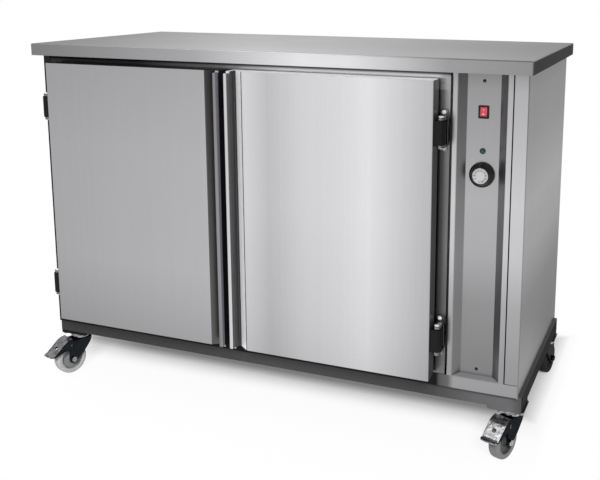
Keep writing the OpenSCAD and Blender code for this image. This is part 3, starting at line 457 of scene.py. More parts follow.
WOOD_BROWN = (0.30, 0.18, 0.08, 1), (0.62, 0.45, 0.26, 1)
WOOL_YELLOW = (0.42, 0.34, 0.14, 1), (0.78, 0.70, 0.42, 1)
soft_rubber("seal_rubber", grey(0.018), grey(0.045), 0.55)
soft_rubber("wheel_rubber", grey(0.28), grey(0.42), 0.36)
soft_rubber("wheel_core", grey(0.13, 0.01), grey(0.22, 0.01), 0.36)
# Painted shade: darker copies of the wheel rubber for the front right wheel, and a near-black one
# for the rear right wheel, which lie in shade.
soft_rubber("worn_rubber", grey(0.09), grey(0.20), 0.36)
soft_rubber("worn_core", grey(0.030), grey(0.065), 0.36)
soft_rubber("sooty_rubber", grey(0.010), grey(0.022), 0.7, 0.05)
loose_fibre("core_board", *WOOD_BROWN, (350, 350, 900), 0.2 * MM)
loose_fibre("mineral_wool", *WOOL_YELLOW, (700, 160, 700), 0.8 * MM)
print("All finishes:", sorted(finish))

# %% [markdown]
# ## Modelling helpers
# Every piece is made as by hand: a primitive is added at its size and place, then parts of it are
# selected by their place and extruded, inset or bevelled. An operator acts on all that is
# selected, so a helper first deselects everything. Folded sheet starts as a line with rounded
# corners, and turned parts start as half of their section.

# %% Modelling helpers
NEAR = 0.1 * MM
MERGE = 0.002 * MM


def mm(pairs):
    """Pairs of millimetres as metres."""
    return [(first * MM, second * MM) for first, second in pairs]


def only(obj):
    """Make one object the only selected one, and the active one."""
    deselect()
    obj.select_set(True)
    bpy.context.view_layer.objects.active = obj


def added(name):
    """The object that an operator has just added, under its name."""
    obj = bpy.context.object
    obj.name = name
    return obj


def settle(obj):
    """Put an object's place, turn and size into its mesh."""
    only(obj)
    bpy.ops.object.transform_apply(location=True, rotation=True, scale=True)


def start_box(name, low, high):
    """A cube at its size and place, as the start of a piece."""
    low, high = Vector(low), Vector(high)
    deselect()
    bpy.ops.mesh.primitive_cube_add(size=1, location=(low + high) / 2)
    obj = added(name)
    obj.scale = high - low
    settle(obj)
    return obj


def pick(obj, kind, test):
    """Go into edit mode with only the vertices, edges or faces that pass the test selected."""
    only(obj)
    bpy.ops.object.mode_set(mode="EDIT")
    bpy.ops.mesh.select_mode(type=kind)
    bpy.ops.mesh.select_all(action="DESELECT")
    bpy.ops.object.mode_set(mode="OBJECT")
    points = obj.data.vertices
    if kind == "VERT":
        for point in points:
            point.select = test(point.co)
    elif kind == "EDGE":
        for edge in obj.data.edges:
            first, last = (points[index].co for index in edge.vertices)
            edge.select = test((first + last) / 2, (last - first).normalized())
    else:
        for face in obj.data.polygons:
            face.select = test(face.center, face.normal)
    bpy.ops.object.mode_set(mode="EDIT")


def leave():
    bpy.ops.object.mode_set(mode="OBJECT")


def everything(*place):
    return True


def running(axis):
    """A test for the edges that run along an axis."""
    return lambda middle, direction: abs(getattr(direction, axis)) > 0.9


def facing(axis, sign):
    """A test for the faces that look along an axis, or against it where sign is -1."""
    return lambda centre, normal: sign * getattr(normal, axis) > 0.9


def extrude(along):
    bpy.ops.mesh.extrude_region_move(TRANSFORM_OT_translate={"value": along})


def bevel_edges(obj, test, width, segments=3):
    """Round the edges whose middle and direction pass the test."""
    pick(obj, "EDGE", test)
    bpy.ops.mesh.bevel(offset=width, segments=segments, affect="EDGES", clamp_overlap=True)
    leave()


def apply_modifier(obj, kind, settings):
    only(obj)
    modifier = obj.modifiers.new(kind.lower(), kind)
    for name, value in settings.items():
        setattr(modifier, name, value)
    bpy.ops.object.modifier_apply(modifier=modifier.name)


def soften(obj, width, segments=2, angle=30):
    """Round every edge that is sharper than an angle."""
    settings = {"width": width, "segments": segments, "limit_method": "ANGLE"}
    settings["angle_limit"] = math.radians(angle)
    apply_modifier(obj, "BEVEL", settings)


def thicken(obj, wall, offset=-1.0):
    """Give a sheet its wall; offset -1 keeps its faces as the outside, 0 as the middle."""
    apply_modifier(obj, "SOLIDIFY", {"thickness": wall, "offset": offset, "use_even_offset": True})


def carve(obj, tool, operation="DIFFERENCE"):
    """Cut one mesh with another, or keep what they share, and delete the tool."""
    apply_modifier(obj, "BOOLEAN", {"object": tool, "operation": operation, "solver": "EXACT"})
    bpy.data.objects.remove(tool)


def join(first, *others):
    only(first)
    for obj in others:
        obj.select_set(True)
    bpy.ops.object.join()
    return first


def copy_of(obj, name):
    """A copy with its own mesh."""
    twin = obj.copy()
    twin.data = obj.data.copy()
    twin.name = name
    bpy.context.collection.objects.link(twin)
    return twin


def outward(obj):
    """Merge doubled points and turn all faces outwards."""
    pick(obj, "FACE", everything)
    bpy.ops.mesh.remove_doubles(threshold=MERGE)
    bpy.ops.mesh.normals_make_consistent(inside=False)
    leave()


print("Modelling helpers ready")

# %% [markdown]
# ## Lines, prisms, folded sheets and turned parts
# A line is one vertex, extruded from point to point. Bevelling a vertex of the line rounds that
# corner, which is what a press brake does to sheet metal. A closed line filled and extruded is a
# prism, an open one extruded is a folded sheet, and one that is spun is a turned part.

# %% Lines, prisms, sheets and turned parts
SAME_PLACE = 0.01 * MM
SMOOTH_ANGLE = math.radians(40)


def draw_line(name, points, rounded=()):
    """A chain of edges through the points; rounded lists (corner number, size) pairs."""
    points = [Vector(point) for point in points]
    deselect()
    bpy.ops.mesh.primitive_plane_add(size=MM, location=points[0])
    obj = added(name)
    settle(obj)
    bpy.ops.object.mode_set(mode="EDIT")
    bpy.ops.mesh.select_mode(type="VERT")
    bpy.ops.mesh.select_all(action="SELECT")
    bpy.ops.mesh.merge(type="CENTER")
    for before, after in zip(points, points[1:]):
        bpy.ops.mesh.extrude_vertices_move(TRANSFORM_OT_translate={"value": after - before})
    leave()
    round_corners(obj, [(points[corner], size) for corner, size in rounded])
    return obj


def round_corners(obj, corners, segments=5):
    """Round the corners at the given places of a flat line or face."""
    for place, size in corners:
        pick(obj, "VERT", lambda co: (co - place).length < SAME_PLACE)
        bpy.ops.mesh.bevel(offset=size, segments=segments, affect="VERTICES")
        leave()


def prism(name, outline, along, rounded=()):
    """A closed outline filled and extruded along a vector."""
    obj = draw_line(name, outline)
    pick(obj, "VERT", everything)
    bpy.ops.mesh.edge_face_add()
    leave()
    round_corners(obj, [(Vector(outline[corner]), size) for corner, size in rounded])
    pick(obj, "FACE", everything)
    extrude(along)
    leave()
    outward(obj)
    return obj


def folded_sheet(name, points, along, wall, rounded=()):
    """A sheet folded along a line of points, with its wall centred on the line."""
    obj = draw_line(name, points, rounded)
    pick(obj, "EDGE", everything)
    extrude(along)
    leave()
    outward(obj)
    thicken(obj, wall, 0.0)
    outward(obj)
    return obj


def turned(name, section, centre, axis, steps=64):
    """A section of (radius, height) points spun round an axis through the centre."""
    axis, centre = Vector(axis), Vector(centre)
    side = axis.orthogonal().normalized()
    obj = draw_line(name, [centre + side * radius + axis * height for radius, height in section])
    pick(obj, "EDGE", everything)
    bpy.ops.mesh.spin(steps=steps, angle=math.tau, center=centre, axis=axis)
    leave()
    outward(obj)
    return obj


def arc(centre, radius, start, end, steps):
    """Points on an arc in a plane, from one angle to another in degrees."""
    angles = [math.radians(start + (end - start) * step / steps) for step in range(steps + 1)]
    return [(centre[0] + radius * math.cos(a), centre[1] + radius * math.sin(a)) for a in angles]


def dress(obj, material, body, slot, *nodes):
    """Give a piece its finish, the body it rides on and the nodes it stands for; its slot is not
    used.
    """
    obj.data.materials.clear()
    obj.data.materials.append(finish[material])
    only(obj)
    bpy.ops.object.shade_smooth_by_angle(angle=SMOOTH_ANGLE)
    apply_modifier(obj, "WEIGHTED_NORMAL", {"keep_sharp": True})
    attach(obj, body)
    if nodes:
        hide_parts(*nodes)
    print(obj.name, "has", len(obj.data.polygons), "faces and rides on", body)


def by_face(obj, choose):
    """What choose says of each face of a piece, from its centre and normal."""
    return [choose(face.center, face.normal) for face in obj.data.polygons]


def repaint(obj, names, numbers):
    """Add finishes to a dressed piece; a number for each face says which it gets, 0 its first."""
    for name in names:
        obj.data.materials.append(finish[name])
    for face, number in zip(obj.data.polygons, numbers):
        face.material_index = int(number)


print("Line helpers ready")

# %% [markdown]
# ## Worktop
# The worktop is one sheet folded down at its four edges and back under the core board. A box gives
# the outside. Its underside is inset by the width of the return and opened, the edges get the
# fold's radius, and a Solidify modifier gives the sheet its wall.

# %% Worktop
TOP_RETURN = 15 * MM
TOP_SHEET = 1.5 * MM
TOP_FOLD = 2.6 * MM
TOP_TIGHT = 0.9 * MM
TOP_RIM = 4 * MM

low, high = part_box("worktop")
worktop = start_box("worktop_sheet", low, high)
pick(worktop, "FACE", facing("z", -1))
bpy.ops.mesh.inset(thickness=TOP_RETURN)
bpy.ops.mesh.delete(type="FACE")
leave()


def on_rim(middle):
    return abs(middle.x) > high.x - TOP_RIM or abs(middle.y) > high.y - TOP_RIM


bevel_edges(worktop, lambda middle, way: on_rim(middle) and middle.z > low.z + MM, TOP_FOLD, 4)
bevel_edges(worktop, lambda middle, way: on_rim(middle) and middle.z < low.z + NEAR, TOP_TIGHT, 2)
thicken(worktop, TOP_SHEET)
dress(worktop, "worktop_steel", "cabinet", "worktop_steel", "worktop")


# The ends get the darker copy and the front the banded copy of the worktop steel: painted shade and
# reflection.
def worktop_finish(place, normal):
    return 1 if abs(normal.x) > 0.9 else 2 if normal.y < -0.5 else 0


repaint(worktop, ("worktop_end", "worktop_front"), by_face(worktop, worktop_finish))

# %% [markdown]
# ## Side panels and floor pan
# Each side panel is folded round the front and back corner; the right one's front return is the
# wide corner post. The floor pan has a folded lip along its front, and the side returns stop above
# that lip, so the part of the sheet in front of it is cut away.

# %% Side panels and floor pan
SHEET = 1.2 * MM
FOLD = 2.0 * MM
REAR_RETURN = 20 * MM
SEAM = 1.1 * MM
SIDES = (("left", -1), ("right", 1))


def side_panel(node, sign):
    """The folded side sheet of a node; sign is 1 on the right and -1 on the left."""
    low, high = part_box(node)
    lip_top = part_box("floor_pan")[1].z
    outer = (high.x if sign > 0 else low.x) - sign * SHEET / 2
    inner = low.x if sign > 0 else high.x
    front, back = low.y + SHEET / 2, high.y - SHEET / 2
    corners = [(inner, front), (outer, front), (outer, back), (outer - sign * REAR_RETURN, back)]
    points = [(x, y, low.z) for x, y in corners]
    rounded = [(1, FOLD), (2, FOLD)]
    panel = folded_sheet(node + "_sheet", points, (0, 0, high.z - low.z), SHEET, rounded)
    notch_x = sorted((inner - sign * MM, outer - sign * FOLD))
    notch_low = (notch_x[0], low.y - MM, low.z - MM)
    notch_high = (notch_x[1], low.y + 2 * SHEET, lip_top + SEAM)
    carve(panel, start_box("notch", notch_low, notch_high))
    dress(panel, "cabinet_steel", "cabinet", "cabinet_steel", node)

    # Painted shade: the left panel's front return gets the near-black frame steel, and the sides
    # get the side steel with its painted reflection bands.
    def panel_finish(place, normal):
        left_return = sign < 0 and place.y < low.y + SHEET and normal.y < -0.5
        return 2 if left_return else 1 if abs(normal.x) > 0.7 else 0

    repaint(panel, ("side_steel", "frame_steel"), by_face(panel, panel_finish))


for side, sign in SIDES:
    side_panel(side + "_side_panel", sign)

low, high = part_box("floor_pan")
fold_z, fold_y = low.z + SHEET / 2, low.y + SHEET / 2
line = [(high.y, fold_z), (fold_y, fold_z), (fold_y, high.z)]
line = [(low.x + SEAM, y, z) for y, z in line]
pan_width = (high.x - low.x - 2 * SEAM, 0, 0)
floor_pan = folded_sheet("floor_pan_sheet", line, pan_width, SHEET, [(1, FOLD)])
# The lip's finish paints the doors' shade on it.
dress(floor_pan, "lip_steel", "cabinet", "cabinet_steel", "floor_pan")

# %% [markdown]
# ## Doors
# A door's outer skin is one sheet, folded to a shallow box, with a finger groove pressed along its
# free edge and a raised lip outside the groove. The plan of the skin is drawn once for both doors,
# measured from the free edge, extruded over the door's height and opened at the back. The lip is a
# narrow closed fold that stops short of both ends.

# %% Door skins
LIP_W = 8.8 * MM
LIP_PROUD = 14 * MM
LIP_END = 4 * MM
LIP_ROUND = 2.2 * MM
GROOVE_FLOOR = 4.8 * MM
GROOVE_SLANT = 22.7 * MM
GROOVE_D = 18 * MM
SKIN_FOLDS = [(3, 1.0 * MM), (4, 2.0 * MM), (5, 3.0 * MM), (6, 1.6 * MM)]
END_FOLD = 0.9 * MM
CLOSE = 0.3 * MM


def door_skin(body, sign):
    """The skin of a door; sign points from its free edge to its hinges."""
    node = body + "_skin"
    low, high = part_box(node)
    free, hinge = (low.x, high.x) if sign > 0 else (high.x, low.x)
    front, back = low.y + LIP_PROUD, high.y
    floor = front + GROOVE_D
    groove = [free + sign * LIP_W, free + sign * (LIP_W + GROOVE_FLOOR)]
    panel = groove[1] + sign * GROOVE_SLANT
    plan = [(free, back), (free, front), (groove[0], front), (groove[0], floor)]
    plan += [(groove[1], floor), (panel, front), (hinge, front), (hinge, back)]
    outline = [(x, y, low.z) for x, y in plan]
    skin = prism(node + "_sheet", outline, (0, 0, high.z - low.z), SKIN_FOLDS)
    pick(skin, "FACE", lambda centre, normal: normal.y > 0.99 and centre.y > back - MM)
    bpy.ops.mesh.delete(type="FACE")
    leave()

    def at_ends(middle, direction):
        return min(middle.z - low.z, high.z - middle.z) < NEAR and middle.y < back - MM

    bevel_edges(skin, at_ends, END_FOLD, 2)
    thicken(skin, SHEET)
    lip_x = sorted((free, groove[0]))
    lip_low = (lip_x[0], low.y, low.z + LIP_END)
    lip = start_box("lip", lip_low, (lip_x[1], front + SHEET, high.z - LIP_END))
    bevel_edges(lip, lambda middle, direction: middle.y < front - MM, LIP_ROUND, 4)
    door = join(skin, lip)
    dress(door, body + "_steel", body, "door_steel", node)
    span = sorted((groove[0], panel))

    # Painted light and shade: the grooves and the right door's hinge wall get near-black copies and
    # the lips darker copies. The right door's slant and top edge get a pale copy, a painted
    # highlight. The left door's free wall and top edge get a dull copy that turns near-black deep
    # in the gap, painted shade.
    def door_finish(place, normal):
        across = span[0] - CLOSE < place.x < span[1] + CLOSE
        deep = front + CLOSE < place.y < floor + CLOSE
        lip_wall = abs(place.x - groove[0]) < CLOSE and normal.x * sign > 0.9
        slant = sign > 0 and normal.x < -0.5 and place.x > groove[1]
        free_wall = sign < 0 and normal.x > 0.9 and place.x > free - CLOSE
        top_edge = normal.z > 0.9 and place.z > high.z - CLOSE
        hinge_wall = sign > 0 and normal.x > 0.9 and place.x > hinge - CLOSE
        in_groove = hinge_wall or (across and (deep or lip_wall))
        on_edge = free_wall or top_edge or (in_groove and slant)
        on_lip = normal.y < -0.6 and place.y < front - MM
        return 3 if on_lip else 2 if on_edge else 1 if in_groove else 0

    finishes = [body + part for part in ("_groove", "_edge", "_lip")]
    repaint(door, finishes, by_face(door, door_finish))


for side, sign in SIDES:
    door_skin(side + "_door", sign)

# %% [markdown]
# ## Inner door pans and seals
# The door is closed at the back by a pressed pan: its raised middle panel is an inset face, pushed
# out and rounded. The seal is a soft frame round that panel. It starts as a block; its front and
# back are inset, a bridge of faces between the two opens it to a frame, and its edges are rounded.

# %% Inner door pans and seals
LINER_RISE = 7 * MM
RAISED_INSET = 43 * MM
PAN_ROUND = 2.5 * MM
SEAL_W = 12 * MM
SEAL_ROUND = 2.8 * MM


def door_inside(side):
    """The pan and the seal at the back of a door."""
    body = side + "_door"
    low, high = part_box(side + "_door_liner")
    pan = start_box(body + "_pan", low, (high.x, high.y - LINER_RISE, high.z))
    pick(pan, "FACE", facing("y", 1))
    bpy.ops.mesh.inset(thickness=RAISED_INSET - SHEET)
    extrude((0, LINER_RISE, 0))
    leave()
    soften(pan, PAN_ROUND, 3)
    dress(pan, "liner_steel", body, "liner_steel", body + "_liner")

    low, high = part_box(side + "_door_seal")
    seal = start_box(body + "_gasket", low, high)
    pick(seal, "FACE", lambda centre, normal: abs(normal.y) > 0.9)
    bpy.ops.mesh.inset(thickness=SEAL_W)
    bpy.ops.mesh.bridge_edge_loops()
    leave()
    outward(seal)
    soften(seal, SEAL_ROUND, 3)
    dress(seal, "seal_rubber", body, "seal_rubber", body + "_seal")


for side, sign in SIDES:
    door_inside(side)

# %% [markdown]
# ## Hinges
# Each door hangs on two hinges. A black knuckle on the door's edge turns on a pin between the two
# ears of a bracket on the stile. The knuckle and the ears have the same kind of outline, a half
# circle on a block, so one function draws both. The hinge's place comes from the door's joint.

# %% Hinges
UP = (0, 0, 1)
KNUCKLE_R = 10.5 * MM
KNUCKLE_H = 50 * MM
KNUCKLE_ROUND = 1.4 * MM
HINGE_OUT = 12.2 * MM
EAR_R = 8 * MM
EAR_H = 6 * MM
EAR_ROUND = 0.8 * MM
SLIP = 0.3 * MM
BRACKET_T = 3 * MM
BRACKET_HALF = 44 * MM
BRACKET_EDGES = (1.5 * MM, 18.5 * MM)
BRACKET_CORNER = 3 * MM
PLATE_ROUND = 0.6 * MM
PIN_R = 4 * MM
PIN_HEAD_R = 5.5 * MM
PIN_HEAD_H = 2 * MM


def half_round(name, axis, radius, reach, degrees, bottom, height):
    """A half circle round the axis on a block; its round side looks that many degrees from X."""
    turn = Matrix.Rotation(math.radians(degrees), 2)
    plan = arc((0, 0), radius, -90, 90, 16) + [(-reach, radius), (-reach, -radius)]
    outline = []
    for point in plan:
        x, y = turn @ Vector(point)
        outline.append((axis.x + x, axis.y + y, bottom))
    return prism(name, outline, (0, 0, height))


def hinge_middles(node):
    """The heights of a door's two hinges, from its node of knuckles."""
    low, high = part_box(node)
    return low.z + KNUCKLE_H / 2, high.z - KNUCKLE_H / 2


def door_knuckles(side, degrees):
    node = side + "_knuckles"
    axis = joint_at[side + "_door_hinge"]
    made = []
    for middle in hinge_middles(node):
        place = (axis, KNUCKLE_R, HINGE_OUT, degrees, middle - KNUCKLE_H / 2, KNUCKLE_H)
        knuckle = half_round(node + "_black", *place)
        soften(knuckle, KNUCKLE_ROUND, 3)
        made.append(knuckle)
    dress(join(*made), "hinge_black", side + "_door", "hinge_black", node)


door_knuckles("left", 180)
door_knuckles("right", 0)

brackets, pins = [], []
bracket_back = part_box("hinge_brackets")[1].y
bracket_face = bracket_back - BRACKET_T
ear_low = KNUCKLE_H / 2 + SLIP
ear_top = ear_low + EAR_H
pin_top = ear_top + PIN_HEAD_H
half_pin = [(PIN_R, ear_top), (PIN_HEAD_R, ear_top), (PIN_HEAD_R, ear_top + MM)]
half_pin += [(PIN_HEAD_R - MM, pin_top), (0, pin_top)]
pin_section = [(radius, -height) for radius, height in reversed(half_pin)] + half_pin
for side, sign in SIDES:
    axis = joint_at[side + "_door_hinge"]
    plate_x = sorted(axis.x + sign * (edge - HINGE_OUT) for edge in BRACKET_EDGES)
    reach = bracket_back - BRACKET_T / 2 - axis.y
    for middle in hinge_middles(side + "_knuckles"):
        plate = start_box(
            "hinge_brackets_folded",
            (plate_x[0], bracket_face, middle - BRACKET_HALF),
            (plate_x[1], bracket_back, middle + BRACKET_HALF),
        )
        bevel_edges(plate, running("y"), BRACKET_CORNER, 4)
        soften(plate, PLATE_ROUND)
        brackets.append(plate)
        for bottom in (middle + ear_low, middle - ear_top):
            ear = half_round("ear", axis, EAR_R, reach, -90, bottom, EAR_H)
            soften(ear, EAR_ROUND)
            brackets.append(ear)
        pins.append(turned("hinge_pins_turned", pin_section, (axis.x, axis.y, middle), UP, 32))
dress(join(*brackets), "hinge_metal", "cabinet", "hinge_metal", "hinge_brackets")
dress(join(*pins), "bright_screw", "cabinet", "hinge_metal", "hinge_pins")

# %% [markdown]
# ## Control column
# The controls sit in a recess, so that nothing knocks them. The column is one folded sheet: flat
# flanges at its edges, two slopes and a recessed plate. Its left edge is tucked in towards the
# stile, which closes the shadow gap between them. A small sloped sill closes the foot of the
# recess.

# %% Control column
FLANGE_W = 10 * MM
SLOPE_W = 17 * MM
COLUMN_FOLD = 1.2 * MM
SILL_H = 5 * MM
TUCK = 2 * MM

low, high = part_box("control_panel")
front = low.y + SHEET / 2
plate_face = high.y - SHEET
plate_mid = plate_face + SHEET / 2
column_mid = (low.x + high.x) / 2
half = (high.x - low.x) / 2
steps = [(-half, front), (-half + FLANGE_W, front), (-half + FLANGE_W + SLOPE_W, plate_mid)]
steps += [(half - FLANGE_W - SLOPE_W, plate_mid), (half - FLANGE_W, front), (half, front)]
stile_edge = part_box("right_stile")[1]
tucked_y = stile_edge.y - TUCK
tucked = [(stile_edge.x - column_mid, tucked_y), (-half, tucked_y)]
line = [(column_mid + x, y, low.z) for x, y in tucked + steps]
folds = [(corner, COLUMN_FOLD) for corner in range(1, len(line) - 1)]
column = folded_sheet("control_column", line, (0, 0, high.z - low.z), SHEET, folds)
sill_plan = [(column_mid + x, y, low.z) for x, y in steps[1:5]]
sill = prism("sill", sill_plan, (0, 0, SILL_H))
pick(sill, "VERT", lambda co: co.z > low.z + MM and co.y < front + MM)
bpy.ops.transform.translate(value=(0, 0, SHEET - SILL_H))
leave()
column = join(column, sill)
dress(column, "cabinet_steel", "cabinet", "cabinet_steel", "control_panel")


# Painted shade: the recessed plate gets a darker copy of the steel, and the sill a darker one
# still.
def column_finish(place, normal):
    on_sill = normal.z > 0.5 and place.z < low.z + SILL_H
    return 2 if on_sill else 1 if place.y > front + SHEET else 0


repaint(column, ("recess_steel", "sill_steel"), by_face(column, column_finish))

# %% [markdown]
# ## Switch
# The mains switch is a black bezel with a red rocker that rests tilted. The bezel is a bevelled
# plate whose front face is inset and pushed in to make the mouth. The rocker's hollow face is a
# shallow curve worked out by a formula. Its marks are the usual bar and ring.

# %% Switch
BEZEL_T = 2.2 * MM
BEZEL_CORNER = 2.2 * MM
BEZEL_EDGE = 0.7 * MM
MOUTH_INSET = 3.5 * MM
MOUTH_D = 4 * MM
HOUSING_INSET = 1.5 * MM
HOUSING_ROUND = 0.8 * MM

low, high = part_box("switch_housing")
bezel = start_box("switch_bezel", low, (high.x, low.y + BEZEL_T, high.z))
bevel_edges(bezel, running("y"), BEZEL_CORNER, 4)
bevel_edges(bezel, lambda middle, direction: middle.y < low.y + NEAR, BEZEL_EDGE, 2)
pick(bezel, "FACE", lambda centre, normal: normal.y < -0.99)
bpy.ops.mesh.inset(thickness=MOUTH_INSET - BEZEL_EDGE)
extrude((0, MOUTH_D, 0))
leave()
housing = start_box(
    "housing",
    (low.x + HOUSING_INSET, low.y + BEZEL_T, low.z + HOUSING_INSET),
    (high.x - HOUSING_INSET, high.y, high.z - HOUSING_INSET),
)
soften(housing, HOUSING_ROUND)
dress(join(bezel, housing), "black_plastic", "cabinet", "black_plastic", "switch_housing")

ROCKER_TILT = math.radians(-8)
ROCKER_HALF_W = 7 * MM
ROCKER_HALF_H = 9.2 * MM
ROCKER_DIP = 2.8 * MM
ROCKER_RISE = 1.6 * MM
ROCKER_BACK = 5 * MM
ROCKER_ROUND = 0.6 * MM
FACE_STEPS = 6


def rocker_face(z):
    """How far the rocker's hollow face stands in front of its pivot."""
    return -ROCKER_DIP - ROCKER_RISE * (z / ROCKER_HALF_H) ** 2


def on_rocker(obj):
    """Tilt a piece that was drawn round the pivot, and move it there."""
    obj.rotation_euler.x = ROCKER_TILT
    obj.location = joint_at["rocker_tilt"]
    settle(obj)


heights = [ROCKER_HALF_H * step / FACE_STEPS for step in range(-FACE_STEPS, FACE_STEPS + 1)]
outline = [(-ROCKER_HALF_W, rocker_face(z), z) for z in heights]
for y, share in ((0, 1), (ROCKER_BACK, 0.5), (ROCKER_BACK, -0.5), (0, -1)):
    outline.append((-ROCKER_HALF_W, y, share * ROCKER_HALF_H))
rocker = prism("rocker_red", outline, (2 * ROCKER_HALF_W, 0, 0))
soften(rocker, ROCKER_ROUND, 2, 35)
on_rocker(rocker)
dress(rocker, "red_rocker", "rocker", "red_rocker", "switch_rocker")

MARK_Z = 5 * MM
MARK_T = 0.25 * MM
BAR_HALF_W = 0.45 * MM
BAR_HALF_H = 2 * MM
RING_IN, RING_OUT = 1.2 * MM, 1.9 * MM
mark_y = rocker_face(MARK_Z)
bar = start_box(
    "rocker_marks",
    (-BAR_HALF_W, mark_y - MARK_T, MARK_Z - BAR_HALF_H),
    (BAR_HALF_W, mark_y + 2 * MARK_T, MARK_Z + BAR_HALF_H),
)
soften(bar, NEAR, 1)
ring_t = 3 * MARK_T
ring_section = [(RING_IN, 0), (RING_OUT, 0), (RING_OUT, ring_t), (RING_IN, ring_t), (RING_IN, 0)]
ring = turned("ring", ring_section, (0, mark_y - MARK_T, -MARK_Z), (0, 1, 0), 32)
marks = join(bar, ring)
on_rocker(marks)
dress(marks, "pale_plastic", "rocker", "pale_plastic")

# %% [markdown]
# ## Pilot lamp, thermostat knob and dial
# All three are turned parts, so each is half of a section spun round the axis that points at the
# user. The knob is a cone on a skirt with a round rim, and its dial is a satin disc let into the
# front. Plain numbers and ticks on the dial are printed marks, a fraction of a millimetre thick.

# %% Pilot lamp, knob and dial
TO_USER = (0, -1, 0)

low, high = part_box("pilot_lamp")
lamp_at = (column_mid, plate_face, (low.z + high.z) / 2)
lens = [(0, 5.2), (2.2, 5.0), (4.0, 4.2), (5.0, 2.9), (5.4, 1.2)]
flange = [(6.0, 1.2), (6.4, 0.8), (6.4, 0), (4.4, 0), (4.4, -20), (0, -20)]
lamp = turned("pilot_lens", mm(lens + flange), lamp_at, TO_USER, 40)
dress(lamp, "green_lens", "cabinet", "green_lens", "pilot_lamp")

KNOB_H = 14 * MM
knob_axis = joint_at["knob_turn"]
knob_at = Vector((knob_axis.x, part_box("thermostat_knob")[0].y + KNOB_H, knob_axis.z))
shaft = [(0, -18), (3, -18), (3, 0)]
skirt = [(24.8, 0), (25.7, 0.4), (26, 1.2), (25.9, 2.2), (25.2, 3.2), (24, 3.9)]
cone = [(22.8, 4.3), (22.2, 5.0), (18.7, 12.8), (18.3, 13.6), (17.5, 14), (16.7, 14), (16.5, 13)]
knob = turned("knob_black", mm(shaft + skirt + cone + [(0, 13)]), knob_at, TO_USER, 96)
dress(knob, "knob_plastic", "knob", "knob_plastic", "thermostat_knob")

DIAL_FACE = 13.7 * MM
DIAL_RINGS = 9000.0
RING_DEPTH = 0.02 * MM
disc = [(0, 13), (16.3, 13), (16.3, 13.5), (16.1, 13.7), (0, 13.7)]
dial = turned("dial_disc", mm(disc), knob_at, TO_USER, 96)
shader, wire = new_finish("dial_face", {"Metallic": 0.35})
place = wire.node("ShaderNodeMapping", {}, {"Vector": own_place(wire), "Location": -knob_at})
radius = wire.node("ShaderNodeVectorMath", {"operation": "LENGTH"}, {0: place}, "Value")
sockets = {"W": radius, "Scale": DIAL_RINGS}
rings = wire.node("ShaderNodeTexNoise", {"noise_dimensions": "1D"}, sockets)
between(wire, rings, grey(0.38), grey(0.52)).into(shader, "Base Color")
(0.36 + 0.16 * (rings - 0.5)).into(shader, "Roughness")
bump(wire, rings, RING_DEPTH).into(shader, "Normal")
dress(dial, "dial_face", "knob", "dial_face", "knob_dial")

# %% [markdown]
# The numbers are text objects. Each is turned to face the user, made a mesh and carried to its
# place on the dial. A ring of ticks runs round the edge, four to each step between two numbers.

# %% Dial marks
NUMBERS = ["0", "30", "40", "50", "60", "70", "80", "90", "100", "110"]
NUMBER_R = 11.2 * MM
NUMBER_SIZE = 4.4 * MM
NUMBER_WEIGHT = 0.07 * MM
TICKS = 36
TICK_R = 14.6 * MM
TICK_HALF_W = 0.25 * MM
LONG_TICK, SHORT_TICK = 1.2 * MM, 0.7 * MM
FIRST_ANGLE = 210
SWEEP = -300
PRINT_T = 0.06 * MM
dial_mid = knob_at + Vector((0, -DIAL_FACE, 0))


def on_dial(step, steps, radius):
    """The angle and the place on the dial after a number of equal steps."""
    angle = math.radians(FIRST_ANGLE + SWEEP * step / steps)
    return angle, dial_mid + Vector((math.cos(angle), 0, math.sin(angle))) * radius


dial_marks = []
for index, words in enumerate(NUMBERS):
    angle, place = on_dial(index, len(NUMBERS) - 1, NUMBER_R)
    deselect()
    bpy.ops.object.text_add()
    number = added("dial_marks")
    number.data.body = words
    number.data.size = NUMBER_SIZE
    number.data.offset = NUMBER_WEIGHT
    number.data.align_x = "CENTER"
    number.data.align_y = "CENTER"
    number.data.extrude = PRINT_T
    bpy.ops.object.convert(target="MESH")
    turn = Matrix.Rotation(math.pi / 2 - angle, 4, "Y") @ Matrix.Rotation(math.pi / 2, 4, "X")
    number.matrix_world = Matrix.Translation(place) @ turn
    settle(number)
    dial_marks.append(number)
for index in range(TICKS + 1):
    angle, place = on_dial(index, TICKS, TICK_R)
    long = LONG_TICK if index % 4 == 0 else SHORT_TICK
    tick = start_box("tick", (-TICK_HALF_W, -PRINT_T, -long), (TICK_HALF_W, PRINT_T, long))
    tick.rotation_euler.y = math.pi / 2 - angle
    tick.location = place
    settle(tick)
    dial_marks.append(tick)
dress(join(*dial_marks), "black_plastic", "knob", "black_plastic")

# %% [markdown]
# ## Screws
# Pan head screws hold the column and the hinge brackets. One head is turned with a low dome, and a
# cross is cut into it with a Boolean modifier. Then it is copied to every place.

# %% Screws
HEAD_H = 2.6 * MM
CROSS_ARM = 2.4 * MM
CROSS_W = 0.5 * MM
CROSS_FLOOR = 1.2 * MM
COLUMN_SCREW = 18 * MM
COLUMN_SCREW_SIZE = 0.75
BRACKET_SCREW = 37 * MM
BRACKET_MID = 10 * MM

dome = [(0, 2.6), (1.6, 2.5), (3.0, 2.1), (4.0, 1.3), (4.6, 0.3), (4.6, 0)]
shank = [(2, 0), (2, -12), (0, -12)]
screw = turned("front_screws_crossed", mm(dome + shank), (0, 0, 0), TO_USER, 32)
for x, z in ((CROSS_ARM, CROSS_W), (CROSS_W, CROSS_ARM)):
    carve(screw, start_box("cross", (-x, -HEAD_H - MM, -z), (x, -CROSS_FLOOR, z)))

